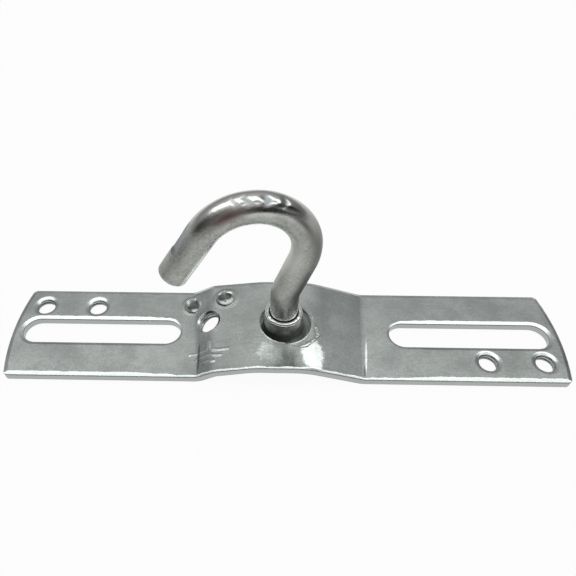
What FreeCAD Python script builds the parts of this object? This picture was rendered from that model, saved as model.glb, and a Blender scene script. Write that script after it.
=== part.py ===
"""Ceiling hook: a bent steel rod held by a flanged sleeve in the arched middle of a slotted mounting strap.

The strap lies along X with its flat ends on Z = 0 and its middle hole on the Z axis; the hook stands up
along +Z. Millimetres throughout.
"""
import FreeCAD
import Part
import math
import os
import Sketcher

# Driving dimensions, in millimetres and degrees. They fill the document's size sheet, one cell each.
SIZES = {
    # Diagonal pairs of tapped holes for the fixture screws
    "outer_pair_spacing": 88.9,
    "inner_pair_spacing": 69.85,
    "pair_offset": 5.65,
    "tapped_bore": 3.45,
    "tapped_bevel": 0.35,
    # Strap blank; each end runs on past the outer pair
    "end_margin": 3.95,
    "strap_width": 19.05,
    "gauge": 1.5,
    "end_arc_radius": 41.0,
    "corner_radius": 0.9,
    "rollover_width": 0.7,
    "rollover_depth": 0.24,
    # Arch of the strap, measured on its underside along the back edge and along the front edge
    "left_crease_back": 16.5,
    "left_crease_front": 14.5,
    "shoulder_reach_back": 12.8,
    "shoulder_reach_front": 11.7,
    "shoulder_rise_back": 2.05,
    "shoulder_rise_front": 1.6,
    "land_left_back": 4.0,
    "land_left_front": 5.5,
    "land_right_back": 4.2,
    "land_right_front": 3.2,
    "arch_rise_back": 3.25,
    "arch_rise_front": 2.85,
    "right_crease_back": 14.3,
    "right_crease_front": 12.7,
    "bend_radius": 2.0,
    "crest_radius": 14.0,
    "flat_lap": 1.1,
    # Slots for the box screws
    "slot_inner_reach": 18.5,
    "slot_end_wall": 1.8,
    "slot_width": 5.25,
    # Earth hole and the punch dimples beside it, on the left step
    "earth_bore": 3.9,
    "earth_reach": 13.65,
    "earth_offset": 1.3,
    "dimple_spread": 3.0,
    "dimple_offset": 5.9,
    "dimple_width": 2.8,
    "dimple_depth": 0.42,
    # Middle hole and the staking mark beside it
    "hub_bore": 8.9,
    "stake_bore": 7.8,
    "stake_reach": 1.75,
    "stake_offset": 1.15,
    "stake_depth": 0.35,
    # Hook rod
    "rod_width": 4.76,
    "axis_shift": 0.4,
    "hook_turn": 10.0,
    "stub_top": 11.4,
    "foot_bend_radius": 5.3,
    "shank_lean": 20.0,
    "shank_length": 6.0,
    "eye_radius": 8.5,
    "eye_sweep": 166.5,
    "tail_length": 9.3,
    "tip_bevel": 0.6,
    "facet_depth": 0.4,
    "facet_start": 4.6,
    "facet_length": 8.0,
    "rivet_width": 7.4,
    "rivet_height": 1.15,
    "rivet_crown": 0.8,
    # Flanged sleeve
    "bore_clearance": 0.12,
    "sleeve_width": 7.0,
    "rim_width": 6.4,
    "rim_height": 7.5,
    "rim_bevel": 0.22,
    "flange_width": 10.4,
    "flange_gauge": 1.0,
    "seat_clearance": 0.12,
}

# Reach of the strap's ends, and of the seams where its flat ends meet the arched middle.
HALF_LENGTH = "(Sizes.outer_pair_spacing / 2 + Sizes.end_margin)"
LEFT_SEAM = "(Sizes.left_crease_back + Sizes.flat_lap)"
RIGHT_SEAM = "(Sizes.right_crease_back + Sizes.flat_lap)"

X_AXIS, Y_AXIS = -1, -2
START, END, CENTRE = 1, 2, 3
ORIGIN_POINT = (-1, 1)

# A face counts as the strap's upper side, or as a cut wall, by the upward part of its normal.
UPPER_SIDE = 0.6
CUT_WALL = 0.55

# Lengths that differ by less than this are the same.
TOUCH = 1e-4


def make_sheet(doc):
    """Size sheet of the document, one named cell for each driving dimension."""
    sheet = doc.addObject("Spreadsheet::Sheet", "Sizes")
    for row, (alias, value) in enumerate(SIZES.items(), start=1):
        sheet.set(f"A{row}", alias)
        sheet.set(f"B{row}", str(value))
        sheet.setAlias(f"B{row}", alias)
    doc.recompute()
    return sheet


def cell(alias):
    """Expression for one cell of the size sheet."""
    return f"Sizes.{alias}"


def middle(alias):
    """Expression for an arch size on the strap's centre line, between its back and front values."""
    return f"((Sizes.{alias}_back + Sizes.{alias}_front) / 2)"


def number(owner, expression):
    """Value of an expression over the size sheet."""
    result = owner.evalExpression(expression)
    return float(getattr(result, "Value", result))


def origin_plane(body, role):
    """One of a body's own origin planes."""
    return next(plane for plane in body.Origin.OriginFeatures if plane.Role == role)


def new_sketch(body, name, role, lift="0"):
    """Sketch on an origin plane of its body, moved along the plane's normal by an expression."""
    sketch = body.newObject("Sketcher::SketchObject", name)
    sketch.AttachmentSupport = [(origin_plane(body, role), "")]
    sketch.MapMode = "FlatFace"
    if lift != "0":
        sketch.setExpression(".AttachmentOffset.Base.z", lift)
    return sketch


def bind(sketch, kind, places, expression):
    """Adds a dimension to a sketch and ties it to an expression."""
    value = number(sketch, expression)
    if kind == "Angle":
        value = math.radians(value)
    index = sketch.addConstraint(Sketcher.Constraint(kind, *places, value))
    sketch.setExpression(f"Constraints[{index}]", expression)


def place(sketch, geometry, point, across, along):
    """Ties a point of a sketch to a pair of coordinates; the text "0" puts it on that axis."""
    for kind, axis, expression in (("DistanceX", Y_AXIS, across), ("DistanceY", X_AXIS, along)):
        if expression == "0":
            sketch.addConstraint(Sketcher.Constraint("PointOnObject", geometry, point, axis))
        else:
            bind(sketch, kind, (*ORIGIN_POINT, geometry, point), expression)


def join_ends(sketch, chain):
    """Joins the end of each line of a closed chain to the start of the next."""
    for line, following in zip(chain, chain[1:] + chain[:1]):
        sketch.addConstraint(Sketcher.Constraint("Coincident", line, END, following, START))


def add_polygon(sketch, corners):
    """Closed outline through corners given as pairs of expressions."""
    spots = [FreeCAD.Vector(number(sketch, x), number(sketch, y), 0) for x, y in corners]
    chain = [
        sketch.addGeometry(Part.LineSegment(start, end), False)
        for start, end in zip(spots, spots[1:] + spots[:1])
    ]
    join_ends(sketch, chain)
    for line, (across, along) in zip(chain, corners):
        place(sketch, line, START, across, along)


def add_circle(sketch, across, along, width):
    """Circle of a given diameter about a point given as expressions."""
    spot = FreeCAD.Vector(number(sketch, across), number(sketch, along), 0)
    round_line = Part.Circle(spot, FreeCAD.Vector(0, 0, 1), number(sketch, width) / 2)
    circle = sketch.addGeometry(round_line, False)
    place(sketch, circle, CENTRE, across, along)
    bind(sketch, "Diameter", (circle,), width)


def add_slot(sketch, near, far, width):
    """Round-ended slot along X between two reaches, given as expressions."""
    x_near, x_far = number(sketch, near), number(sketch, far)
    radius = number(sketch, width) / 2
    outward = math.copysign(1.0, x_far)
    inner = FreeCAD.Vector(x_near + outward * radius, 0, 0)
    outer = FreeCAD.Vector(x_far - outward * radius, 0, 0)
    left, right = sorted((inner, outer), key=lambda spot: spot.x)
    up, normal = FreeCAD.Vector(0, radius, 0), FreeCAD.Vector(0, 0, 1)
    quarter = math.pi / 2
    right_circle, left_circle = (Part.Circle(spot, normal, radius) for spot in (right, left))
    low = sketch.addGeometry(Part.LineSegment(left - up, right - up), False)
    right_cap = sketch.addGeometry(Part.ArcOfCircle(right_circle, -quarter, quarter), False)
    high = sketch.addGeometry(Part.LineSegment(right + up, left + up), False)
    left_cap = sketch.addGeometry(Part.ArcOfCircle(left_circle, quarter, 3 * quarter), False)
    chain = [low, right_cap, high, left_cap]
    for piece, following in zip(chain, chain[1:] + chain[:1]):
        sketch.addConstraint(Sketcher.Constraint("Tangent", piece, END, following, START))
    reaches = sorted((near, far), key=lambda expression: number(sketch, expression))
    place(sketch, left_cap, CENTRE, f"{reaches[0]} + {width} / 2", "0")
    place(sketch, right_cap, CENTRE, f"{reaches[1]} - {width} / 2", "0")
    sketch.addConstraint(Sketcher.Constraint("Equal", left_cap, right_cap))
    bind(sketch, "Radius", (right_cap,), f"{width} / 2")


def cut_through(body, sketch, name):
    """Pocket through the whole body, both ways from its sketch; it has to take material away."""
    before = body.Shape.Volume
    pocket = body.newObject("PartDesign::Pocket", name)
    pocket.Profile = sketch
    pocket.SideType = "Symmetric"
    pocket.Type = "ThroughAll"
    body.Document.recompute()
    if not body.Shape.Volume < before:
        raise RuntimeError(f"{name} cut nothing")
    return pocket


def dress_edges(body, kind, name, size, indices, depth=None):
    """Fillet or chamfer on edges of the body's present shape, given by their indices.

    A depth makes the chamfer run its size along the first face of each edge and the depth down the other.
    """
    if not indices:
        raise RuntimeError(f"{name} found no edges")
    base = body.Tip
    dressed = body.newObject(f"PartDesign::{kind}", name)
    dressed.Base = (base, [f"Edge{index + 1}" for index in indices])
    dressed.setExpression("Radius" if kind == "Fillet" else "Size", size)
    if depth:
        dressed.ChamferType = "Two distances"
        dressed.setExpression("Size2", depth)
    body.Document.recompute()
    if "Invalid" in dressed.State:
        raise RuntimeError(f"{name} failed")


def arch_corners(side):
    """Corners of the strap's underside along one edge, left to right, as pairs of expressions."""
    rise = f"Sizes.arch_rise_{side}"
    return [
        (f"-{LEFT_SEAM}", "0"),
        (f"-Sizes.left_crease_{side}", "0"),
        (f"-Sizes.shoulder_reach_{side}", f"Sizes.shoulder_rise_{side}"),
        (f"-Sizes.land_left_{side}", rise),
        (f"Sizes.land_right_{side}", rise),
        (f"Sizes.right_crease_{side}", "0"),
        (RIGHT_SEAM, "0"),
    ]


def offset_corners(spots, gauge):
    """Corners of the line that runs a sheet's thickness above a line of corners."""
    slopes = [(b.y - a.y) / (b.x - a.x) for a, b in zip(spots, spots[1:])]
    lifts = [gauge * math.hypot(1, slope) for slope in slopes]
    upper = [spots[0] + FreeCAD.Vector(0, lifts[0], 0)]
    for spot, before, after, lift, lift_after in zip(spots[1:], slopes, slopes[1:], lifts, lifts[1:]):
        shift = (lift_after - lift) / (before - after)
        upper.append(spot + FreeCAD.Vector(shift, before * shift + lift, 0))
    upper.append(spots[-1] + FreeCAD.Vector(0, lifts[-1], 0))
    return upper


def strap_section(body, side, lift):
    """Section of the bent sheet along the strap's back or front edge."""
    sketch = new_sketch(body, f"Section_{side}", "XZ_Plane", lift)
    corners = arch_corners(side)
    lower = [FreeCAD.Vector(number(sketch, x), number(sketch, y), 0) for x, y in corners]
    upper = offset_corners(lower, number(sketch, cell("gauge")))
    spots = lower + upper[::-1]
    chain = [
        sketch.addGeometry(Part.LineSegment(start, end), False)
        for start, end in zip(spots, spots[1:] + spots[:1])
    ]
    join_ends(sketch, chain)
    for line, (across, along) in zip(chain, corners):
        place(sketch, line, START, across, along)
    runs = len(corners) - 1
    right_end, left_end = chain[runs], chain[-1]
    for end_line in (right_end, left_end):
        sketch.addConstraint(Sketcher.Constraint("Vertical", end_line))
    for under, over in zip(chain[:runs][::-1], chain[runs + 1:-1]):
        sketch.addConstraint(Sketcher.Constraint("Parallel", over, under))
        bind(sketch, "Distance", (over, START, under), cell("gauge"))
    return sketch


def crease_edge(body, corner, above):
    """Index of the edge across the strap nearest to a corner of its underside, or of its upper side."""
    width = number(body, cell("strap_width"))
    lift = number(body, cell("gauge")) if above else 0
    back, front = (arch_corners(side)[corner] for side in ("back", "front"))
    reach, rise = (number(body, f"({far} + {near}) / 2") for far, near in zip(back, front))
    target = FreeCAD.Vector(reach, 0, rise + lift)
    across = [
        (edge.CenterOfMass.distanceToPoint(target), index)
        for index, edge in enumerate(body.Shape.Edges)
        if abs(edge.Vertexes[0].Y - edge.Vertexes[-1].Y) > width / 2
    ]
    return min(across)[1]


def bend_creases(body):
    """Rounds the five creases of the arch on both sides of the sheet."""
    left_crease, shoulder, land_left, land_right, right_crease = 1, 2, 3, 4, 5
    tight, wide = cell("bend_radius"), cell("crest_radius")
    inside_tight = ((left_crease, True), (shoulder, False), (right_crease, True))
    inside_wide = ((land_left, False), (land_right, False))
    for name, radius, inside in (("Tight", tight, inside_tight), ("Crest", wide, inside_wide)):
        inner = [crease_edge(body, corner, above) for corner, above in inside]
        dress_edges(body, "Fillet", f"{name}Inside", radius, inner)
        outer = [crease_edge(body, corner, not above) for corner, above in inside]
        dress_edges(body, "Fillet", f"{name}Outside", f"{radius} + Sizes.gauge", outer)


def add_flat_ends(body):
    """Adds the two flat ends beside the arch, each cut off by a convex arc with rounded corners."""
    sketch = new_sketch(body, "FlatEnds", "XY_Plane")
    half_width = "(Sizes.strap_width / 2)"
    radius, height = number(sketch, cell("end_arc_radius")), number(sketch, half_width)
    spread = math.asin(height / radius)
    for sign, seam in (("", RIGHT_SEAM), ("-", LEFT_SEAM)):
        outward = -1 if sign else 1
        near = number(sketch, f"{sign}{seam}")
        centre = FreeCAD.Vector(outward * (number(sketch, HALF_LENGTH) - radius), 0, 0)
        circle = Part.Circle(centre, FreeCAD.Vector(0, 0, 1), radius)
        facing = math.pi if sign else 0
        arc = sketch.addGeometry(Part.ArcOfCircle(circle, facing - spread, facing + spread), False)
        end = centre + FreeCAD.Vector(outward * radius * math.cos(spread), outward * height, 0)
        start = FreeCAD.Vector(end.x, -end.y, 0)
        spots = [end, FreeCAD.Vector(near, end.y, 0), FreeCAD.Vector(near, start.y, 0), start]
        lines = [sketch.addGeometry(Part.LineSegment(a, b), False) for a, b in zip(spots, spots[1:])]
        join_ends(sketch, [arc, *lines])
        place(sketch, arc, CENTRE, f"{sign}({HALF_LENGTH} - Sizes.end_arc_radius)", "0")
        bind(sketch, "Radius", (arc,), cell("end_arc_radius"))
        place(sketch, lines[0], END, f"{sign}{seam}", f"{sign}{half_width}")
        place(sketch, lines[2], START, f"{sign}{seam}", f"{sign}(-{half_width})")
        for line in (lines[0], lines[2]):
            sketch.addConstraint(Sketcher.Constraint("Horizontal", line))
    pad = body.newObject("PartDesign::Pad", "FlatEndsPad")
    pad.Profile = sketch
    pad.setExpression("Length", cell("gauge"))
    body.Document.recompute()
    clear_of_seams = number(body, f"({LEFT_SEAM} + {HALF_LENGTH}) / 2")
    corners = [
        index
        for index, edge in enumerate(body.Shape.Edges)
        if edge.BoundBox.XLength < TOUCH
        and abs(abs(edge.CenterOfMass.y) - height) < TOUCH
        and abs(edge.CenterOfMass.x) > clear_of_seams
    ]
    dress_edges(body, "Fillet", "CornerRound", cell("corner_radius"), corners)


def punch_flats(body):
    """Cuts the two slots, the two diagonal pairs of tapped holes and the middle hole."""
    slots = new_sketch(body, "Slots", "XY_Plane")
    for sign in ("", "-"):
        outer = f"{sign}({HALF_LENGTH} - Sizes.slot_end_wall)"
        add_slot(slots, f"{sign}Sizes.slot_inner_reach", outer, cell("slot_width"))
    cut_through(body, slots, "SlotCut")
    pairs = new_sketch(body, "TappedHoles", "XY_Plane")
    offset = cell("pair_offset")
    for spacing in ("outer_pair_spacing", "inner_pair_spacing"):
        reach = f"sqrt((Sizes.{spacing} / 2)^2 - {offset}^2)"
        add_circle(pairs, f"-{reach}", offset, cell("tapped_bore"))
        add_circle(pairs, reach, f"-{offset}", cell("tapped_bore"))
    cut_through(body, pairs, "TappedHoleCut")
    hub = new_sketch(body, "Hub", "XY_Plane")
    add_circle(hub, "0", "0", cell("hub_bore"))
    cut_through(body, hub, "HubCut")


def step_tilt():
    """Expression for the slope angle of the left step on the strap's centre line."""
    return f"atan({middle('shoulder_rise')} / ({middle('left_crease')} - {middle('shoulder_reach')}))"


def punch_earth_hole(body):
    """Cuts the earth hole square to the sloping face of the left step."""
    sketch = new_sketch(body, "EarthHole", "XY_Plane")
    tilt = step_tilt()
    sketch.AttachmentOffset = FreeCAD.Placement(
        FreeCAD.Vector(), FreeCAD.Rotation(FreeCAD.Vector(0, 1, 0), -number(sketch, tilt))
    )
    sketch.setExpression(".AttachmentOffset.Base.x", "-Sizes.earth_reach")
    sketch.setExpression(".AttachmentOffset.Base.y", cell("earth_offset"))
    rise = f"({middle('left_crease')} - Sizes.earth_reach) * tan({tilt})"
    sketch.setExpression(".AttachmentOffset.Base.z", f"{rise} + Sizes.gauge / cos({tilt})")
    add_circle(sketch, "0", "0", cell("earth_bore"))
    cut_through(body, sketch, "EarthHoleCut")


def punched_edges(body, bores, inside):
    """Indices of the upper edges of cut walls, either inside the named bores or everywhere else."""
    shape = body.Shape
    radii = [number(body, f"Sizes.{alias} / 2") for alias in bores]
    found = []
    for index, edge in enumerate(shape.Edges):
        spot = edge.valueAt((edge.FirstParameter + edge.LastParameter) / 2)
        sides = []
        for face in shape.ancestorsOfType(edge, Part.Face):
            rise = face.normalAt(*face.Surface.parameter(spot)).z
            sides.append((rise, getattr(face.Surface, "Radius", 0)))
        rise, radius = min(sides, key=lambda side: abs(side[0]))
        in_bore = any(abs(radius - bore) < TOUCH for bore in radii)
        if max(sides)[0] > UPPER_SIDE and abs(rise) < CUT_WALL and in_bore == inside:
            found.append(index)
    return found


def upper_side_first(shape, index):
    """Whether the first face that an edge lists is the upper one; the rest of the edge's loop follows it."""
    edge = shape.Edges[index]
    spot = edge.valueAt((edge.FirstParameter + edge.LastParameter) / 2)
    face = shape.ancestorsOfType(edge, Part.Face)[0]
    return face.normalAt(*face.Surface.parameter(spot)).z > UPPER_SIDE


def ease_punched_edges(body):
    """Slopes the upper edges that the blanking drew down, and bevels the mouths of the tapped holes."""
    threaded = ("tapped_bore", "earth_bore")
    drawn = punched_edges(body, (*threaded, "hub_bore"), False)
    drawn = [index for index in drawn if upper_side_first(body.Shape, index)]
    dress_edges(body, "Chamfer", "RollOver", cell("rollover_width"), drawn, cell("rollover_depth"))
    mouths = punched_edges(body, threaded, True)
    dress_edges(body, "Chamfer", "TappedMouth", cell("tapped_bevel"), mouths)


def punch_dimples(body):
    """Sinks a round dimple on each side of the step, behind the earth hole."""
    share = "(Sizes.dimple_offset / Sizes.strap_width + 0.5)"

    def across(alias):
        return f"(Sizes.{alias}_front + (Sizes.{alias}_back - Sizes.{alias}_front) * {share})"

    radius = "((Sizes.dimple_width^2 / 4 + Sizes.dimple_depth^2) / (2 * Sizes.dimple_depth))"
    inner_reach = "(Sizes.earth_reach - Sizes.dimple_spread)"
    climb = f"({across('arch_rise')} - {across('shoulder_rise')})"
    run = f"({across('shoulder_reach')} - {across('land_left')})"
    past_shoulder = f"({across('shoulder_reach')} - {inner_reach})"
    shoulder = f"({across('shoulder_rise')} + {climb} * {past_shoulder} / {run})"
    dimples = (
        ("OuterDimple", "(Sizes.earth_reach + Sizes.dimple_spread)", "0"),
        ("InnerDimple", inner_reach, shoulder),
    )
    for name, reach, underside in dimples:
        before = body.Shape.Volume
        ball = body.newObject("PartDesign::SubtractiveSphere", name)
        ball.AttachmentSupport = [(origin_plane(body, "XY_Plane"), "")]
        ball.MapMode = "FlatFace"
        ball.setExpression("Radius", radius)
        ball.setExpression(".AttachmentOffset.Base.x", f"-{reach}")
        ball.setExpression(".AttachmentOffset.Base.y", cell("dimple_offset"))
        height = f"{underside} + Sizes.gauge - Sizes.dimple_depth + {radius}"
        ball.setExpression(".AttachmentOffset.Base.z", height)
        body.Document.recompute()
        if not body.Shape.Volume < before:
            raise RuntimeError(f"{name} cut nothing")


def strike_stake(body):
    """Sinks the flat-bottomed staking mark that overlaps the front right of the middle hole."""
    floor = f"{middle('arch_rise')} + Sizes.gauge - Sizes.stake_depth"
    sketch = new_sketch(body, "Stake", "XY_Plane", floor)
    add_circle(sketch, cell("stake_reach"), "-Sizes.stake_offset", cell("stake_bore"))
    before = body.Shape.Volume
    pocket = body.newObject("PartDesign::Pocket", "StakeCut")
    pocket.Profile = sketch
    pocket.Reversed = True
    pocket.Type = "ThroughAll"
    body.Document.recompute()
    if not body.Shape.Volume < before:
        raise RuntimeError("StakeCut cut nothing")


def make_strap(doc):
    """Mounting strap: an arch lofted between its back and front sections, with flat ends, then pierced."""
    body = doc.addObject("PartDesign::Body", "Strap")
    body.Label = "mounting_strap"
    back = strap_section(body, "back", "-Sizes.strap_width / 2")
    front = strap_section(body, "front", "Sizes.strap_width / 2")
    doc.recompute()
    arch = body.newObject("PartDesign::AdditiveLoft", "Arch")
    arch.Profile = back
    arch.Sections = [front]
    arch.Ruled = True
    doc.recompute()
    bend_creases(body)
    add_flat_ends(body)
    punch_flats(body)
    punch_earth_hole(body)
    ease_punched_edges(body)
    punch_dimples(body)
    strike_stake(body)
    return body


def seat_height():
    """Expression for the upper face of the flange, just clear of the sloping right side of the arch."""
    edge_reach = "(Sizes.flange_width / 2 - Sizes.axis_shift)"
    overhang = f"max(0; {edge_reach} - {middle('land_right')})"
    slope = f"{middle('arch_rise')} / ({middle('right_crease')} - {middle('land_right')})"
    return f"({middle('arch_rise')} - {overhang} * {slope} - Sizes.seat_clearance)"


def foot_height():
    """Expression for the lower face of the flange, on which the rod's rivet head bears."""
    return f"({seat_height()} - Sizes.flange_gauge)"


def revolve(body, sketch, name):
    """Full turn of a sketch about the body's own vertical axis."""
    turn = body.newObject("PartDesign::Revolution", name)
    turn.Profile = sketch
    turn.ReferenceAxis = (sketch, ["V_Axis"])
    turn.Angle = 360
    body.Document.recompute()
    return turn


def set_on_axis(body):
    """Puts a body on the hook's axis, a little left of the middle hole's centre."""
    body.setExpression(".Placement.Base.x", "-Sizes.axis_shift")


def make_sleeve(doc):
    """Flanged sleeve: it comes up through the middle hole, and its flange bears under the arch."""
    body = doc.addObject("PartDesign::Body", "Sleeve")
    body.Label = "flanged_sleeve"
    bore = "(Sizes.rod_width / 2 + Sizes.bore_clearance)"
    flange, barrel, rim = (f"Sizes.{alias} / 2" for alias in ("flange_width", "sleeve_width", "rim_width"))
    upper_face = f"{middle('arch_rise')} + Sizes.gauge"
    profile = new_sketch(body, "SleeveSection", "XZ_Plane")
    add_polygon(profile, [
        (bore, foot_height()),
        (flange, foot_height()),
        (flange, seat_height()),
        (barrel, seat_height()),
        (barrel, upper_face),
        (rim, cell("rim_height")),
        (bore, cell("rim_height")),
    ])
    revolve(body, profile, "SleeveTurn")
    rim_height = number(body, cell("rim_height"))
    rim_edges = [
        index
        for index, edge in enumerate(body.Shape.Edges)
        if edge.BoundBox.ZMin > rim_height - TOUCH
    ]
    dress_edges(body, "Chamfer", "RimBevel", cell("rim_bevel"), rim_edges)
    set_on_axis(body)
    return body


def hook_line(owner):
    """Corner points of the rod's centre line in the hook's own plane, with the centres of its two bends."""
    lean = math.radians(number(owner, cell("shank_lean")))
    sweep = math.radians(number(owner, cell("eye_sweep"))) - lean
    bend, eye = number(owner, cell("foot_bend_radius")), number(owner, cell("eye_radius"))
    stub = FreeCAD.Vector(0, number(owner, cell("stub_top")), 0)
    outward = FreeCAD.Vector(-math.cos(lean), math.sin(lean), 0)
    along = FreeCAD.Vector(math.sin(lean), math.cos(lean), 0)
    bend_centre = stub + FreeCAD.Vector(bend, 0, 0)
    shank_start = bend_centre + outward * bend
    shank_end = shank_start + along * number(owner, cell("shank_length"))
    eye_centre = shank_end + outward * eye
    tail_start = eye_centre + FreeCAD.Vector(math.cos(sweep), math.sin(sweep), 0) * eye
    tail_way = FreeCAD.Vector(-math.sin(sweep), math.cos(sweep), 0)
    tip = tail_start + tail_way * number(owner, cell("tail_length"))
    return {
        "foot": FreeCAD.Vector(0, number(owner, foot_height()), 0),
        "stub": stub,
        "bend_centre": bend_centre,
        "shank_start": shank_start,
        "shank_end": shank_end,
        "eye_centre": eye_centre,
        "tail_start": tail_start,
        "tail_way": tail_way,
        "tip": tip,
        "lean": lean,
        "sweep": sweep,
    }


def hook_path(body):
    """Centre line of the rod: stub, lean to the right, shank, eye round to the left, straight tail."""
    sketch = new_sketch(body, "RodPath", "XZ_Plane")
    line = hook_line(sketch)
    normal = FreeCAD.Vector(0, 0, 1)
    bend_circle = Part.Circle(line["bend_centre"], normal, number(sketch, cell("foot_bend_radius")))
    eye_circle = Part.Circle(line["eye_centre"], normal, number(sketch, cell("eye_radius")))
    stub = sketch.addGeometry(Part.LineSegment(line["foot"], line["stub"]), False)
    bend = sketch.addGeometry(Part.ArcOfCircle(bend_circle, math.pi - line["lean"], math.pi), False)
    shank = sketch.addGeometry(Part.LineSegment(line["shank_start"], line["shank_end"]), False)
    eye = sketch.addGeometry(Part.ArcOfCircle(eye_circle, -line["lean"], line["sweep"]), False)
    tail = sketch.addGeometry(Part.LineSegment(line["tail_start"], line["tip"]), False)
    joins = (
        (stub, END, bend, END),
        (bend, START, shank, START),
        (shank, END, eye, START),
        (eye, END, tail, START),
    )
    for join in joins:
        sketch.addConstraint(Sketcher.Constraint("Tangent", *join))
    place(sketch, stub, START, "0", foot_height())
    place(sketch, stub, END, "0", cell("stub_top"))
    bind(sketch, "Radius", (bend,), cell("foot_bend_radius"))
    bind(sketch, "Angle", (shank,), "90 deg - Sizes.shank_lean * 1 deg")
    bind(sketch, "Distance", (shank, START, shank, END), cell("shank_length"))
    bind(sketch, "Radius", (eye,), cell("eye_radius"))
    bind(sketch, "Angle", (tail,), "90 deg + (Sizes.eye_sweep - Sizes.shank_lean) * 1 deg")
    bind(sketch, "Distance", (tail, START, tail, END), cell("tail_length"))
    return sketch


def grind_facet(body):
    """Takes the flat off the outer side of the rod, a short way back from its tip."""
    line = hook_line(body)
    way = line["tail_way"]
    outer = FreeCAD.Vector(way.y, -way.x, 0)
    keep = number(body, "Sizes.rod_width / 2 - Sizes.facet_depth")
    corner = line["tip"] - way * number(body, "Sizes.facet_start + Sizes.facet_length") + outer * keep
    to_hook_plane = FreeCAD.Rotation(FreeCAD.Vector(1, 0, 0), 90)
    before = body.Shape.Volume
    box = body.newObject("PartDesign::SubtractiveBox", "Facet")
    box.setExpression("Length", cell("facet_length"))
    box.setExpression("Width", cell("rod_width"))
    box.setExpression("Height", cell("rod_width"))
    corner += FreeCAD.Vector(0, 0, number(body, "Sizes.rod_width / 2"))
    flat = FreeCAD.Placement(corner, FreeCAD.Rotation(way, outer, way.cross(outer), "XYZ"))
    box.Placement = FreeCAD.Placement(FreeCAD.Vector(), to_hook_plane).multiply(flat)
    body.Document.recompute()
    if not body.Shape.Volume < before:
        raise RuntimeError("Facet cut nothing")


def head_foot(body):
    """Adds the domed rivet head that is formed on the rod's lower end, under the flange."""
    sketch = new_sketch(body, "RivetSection", "XZ_Plane")
    foot, reach = number(sketch, foot_height()), number(sketch, "Sizes.rivet_width / 2")
    height, crown = number(sketch, cell("rivet_height")), number(sketch, cell("rivet_crown"))
    dome = (reach**2 + crown**2) / (2 * crown)
    centre = FreeCAD.Vector(0, foot - height + dome, 0)
    spots = [
        FreeCAD.Vector(0, foot - height, 0),
        FreeCAD.Vector(0, foot, 0),
        FreeCAD.Vector(reach, foot, 0),
        FreeCAD.Vector(reach, foot - height + crown, 0),
    ]
    lines = [sketch.addGeometry(Part.LineSegment(a, b), False) for a, b in zip(spots, spots[1:])]
    half_angle = math.asin(reach / dome)
    circle = Part.Circle(centre, FreeCAD.Vector(0, 0, 1), dome)
    arc = sketch.addGeometry(Part.ArcOfCircle(circle, -math.pi / 2, -math.pi / 2 + half_angle), False)
    for line, following in zip(lines, lines[1:]):
        sketch.addConstraint(Sketcher.Constraint("Coincident", line, END, following, START))
    sketch.addConstraint(Sketcher.Constraint("Coincident", arc, START, lines[0], START))
    sketch.addConstraint(Sketcher.Constraint("Coincident", arc, END, lines[-1], END))
    place(sketch, lines[0], START, "0", f"{foot_height()} - Sizes.rivet_height")
    place(sketch, lines[1], START, "0", foot_height())
    place(sketch, lines[2], START, "Sizes.rivet_width / 2", foot_height())
    shoulder = f"{foot_height()} - Sizes.rivet_height + Sizes.rivet_crown"
    place(sketch, lines[2], END, "Sizes.rivet_width / 2", shoulder)
    sketch.addConstraint(Sketcher.Constraint("PointOnObject", arc, CENTRE, Y_AXIS))
    revolve(body, sketch, "RivetHead")


def make_hook(doc):
    """Hook rod: a round bar carried along its bent centre line, with a worn flat and a riveted foot."""
    body = doc.addObject("PartDesign::Body", "Hook")
    body.Label = "hook_rod"
    path = hook_path(body)
    bar = new_sketch(body, "RodSection", "XY_Plane", foot_height())
    add_circle(bar, "0", "0", cell("rod_width"))
    doc.recompute()
    rod = body.newObject("PartDesign::AdditivePipe", "Rod")
    rod.Profile = bar
    rod.Spine = path
    doc.recompute()
    line = hook_line(body)
    tip = FreeCAD.Vector(line["tip"].x, 0, line["tip"].y)
    edges = enumerate(body.Shape.Edges)
    nearest = min((edge.CenterOfMass.distanceToPoint(tip), index) for index, edge in edges)[1]
    dress_edges(body, "Chamfer", "TipBevel", cell("tip_bevel"), [nearest])
    grind_facet(body)
    head_foot(body)
    set_on_axis(body)
    body.setExpression(".Placement.Rotation.Angle", "Sizes.hook_turn * 1 deg")
    return body


def check_document(doc, parts):
    """Stops when any object failed to recompute, or a sub-part is empty or not valid."""
    for item in doc.Objects:
        if {"Invalid", "Error"} & set(item.State):
            raise RuntimeError(f"{item.Label}: {item.State}")
    for part in parts:
        if part.Shape.isNull() or not part.Shape.isValid() or not part.Shape.Solids:
            raise RuntimeError(f"{part.Label} has no sound solid")


def main():
    """Builds the document and writes one STEP file for each sub-part."""
    doc = FreeCAD.newDocument("CeilingHook")
    make_sheet(doc)
    parts = [make_strap(doc), make_sleeve(doc), make_hook(doc)]
    doc.recompute()
    check_document(doc, parts)
    os.makedirs("parts", exist_ok=True)
    for part in parts:
        part.Shape.exportStep(os.path.join("parts", f"{part.Label}.step"))
        box = part.Shape.BoundBox
        print(f"{part.Label}: {part.Shape.Volume:.1f} mm3, Z {box.ZMin:.2f} to {box.ZMax:.2f}")


main()
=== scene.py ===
"""Looks of the ceiling hook: plated steel, dents, threads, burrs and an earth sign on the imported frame.

Sizes are written in millimetres in the part's own frame, and meshes in metres.
"""
import logging
import math
from dataclasses import dataclass
from enum import Enum
from functools import cached_property
from typing import Any, Mapping, Sequence

import bmesh
import bpy
import numpy as np
from mathutils import Matrix, Vector


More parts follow.
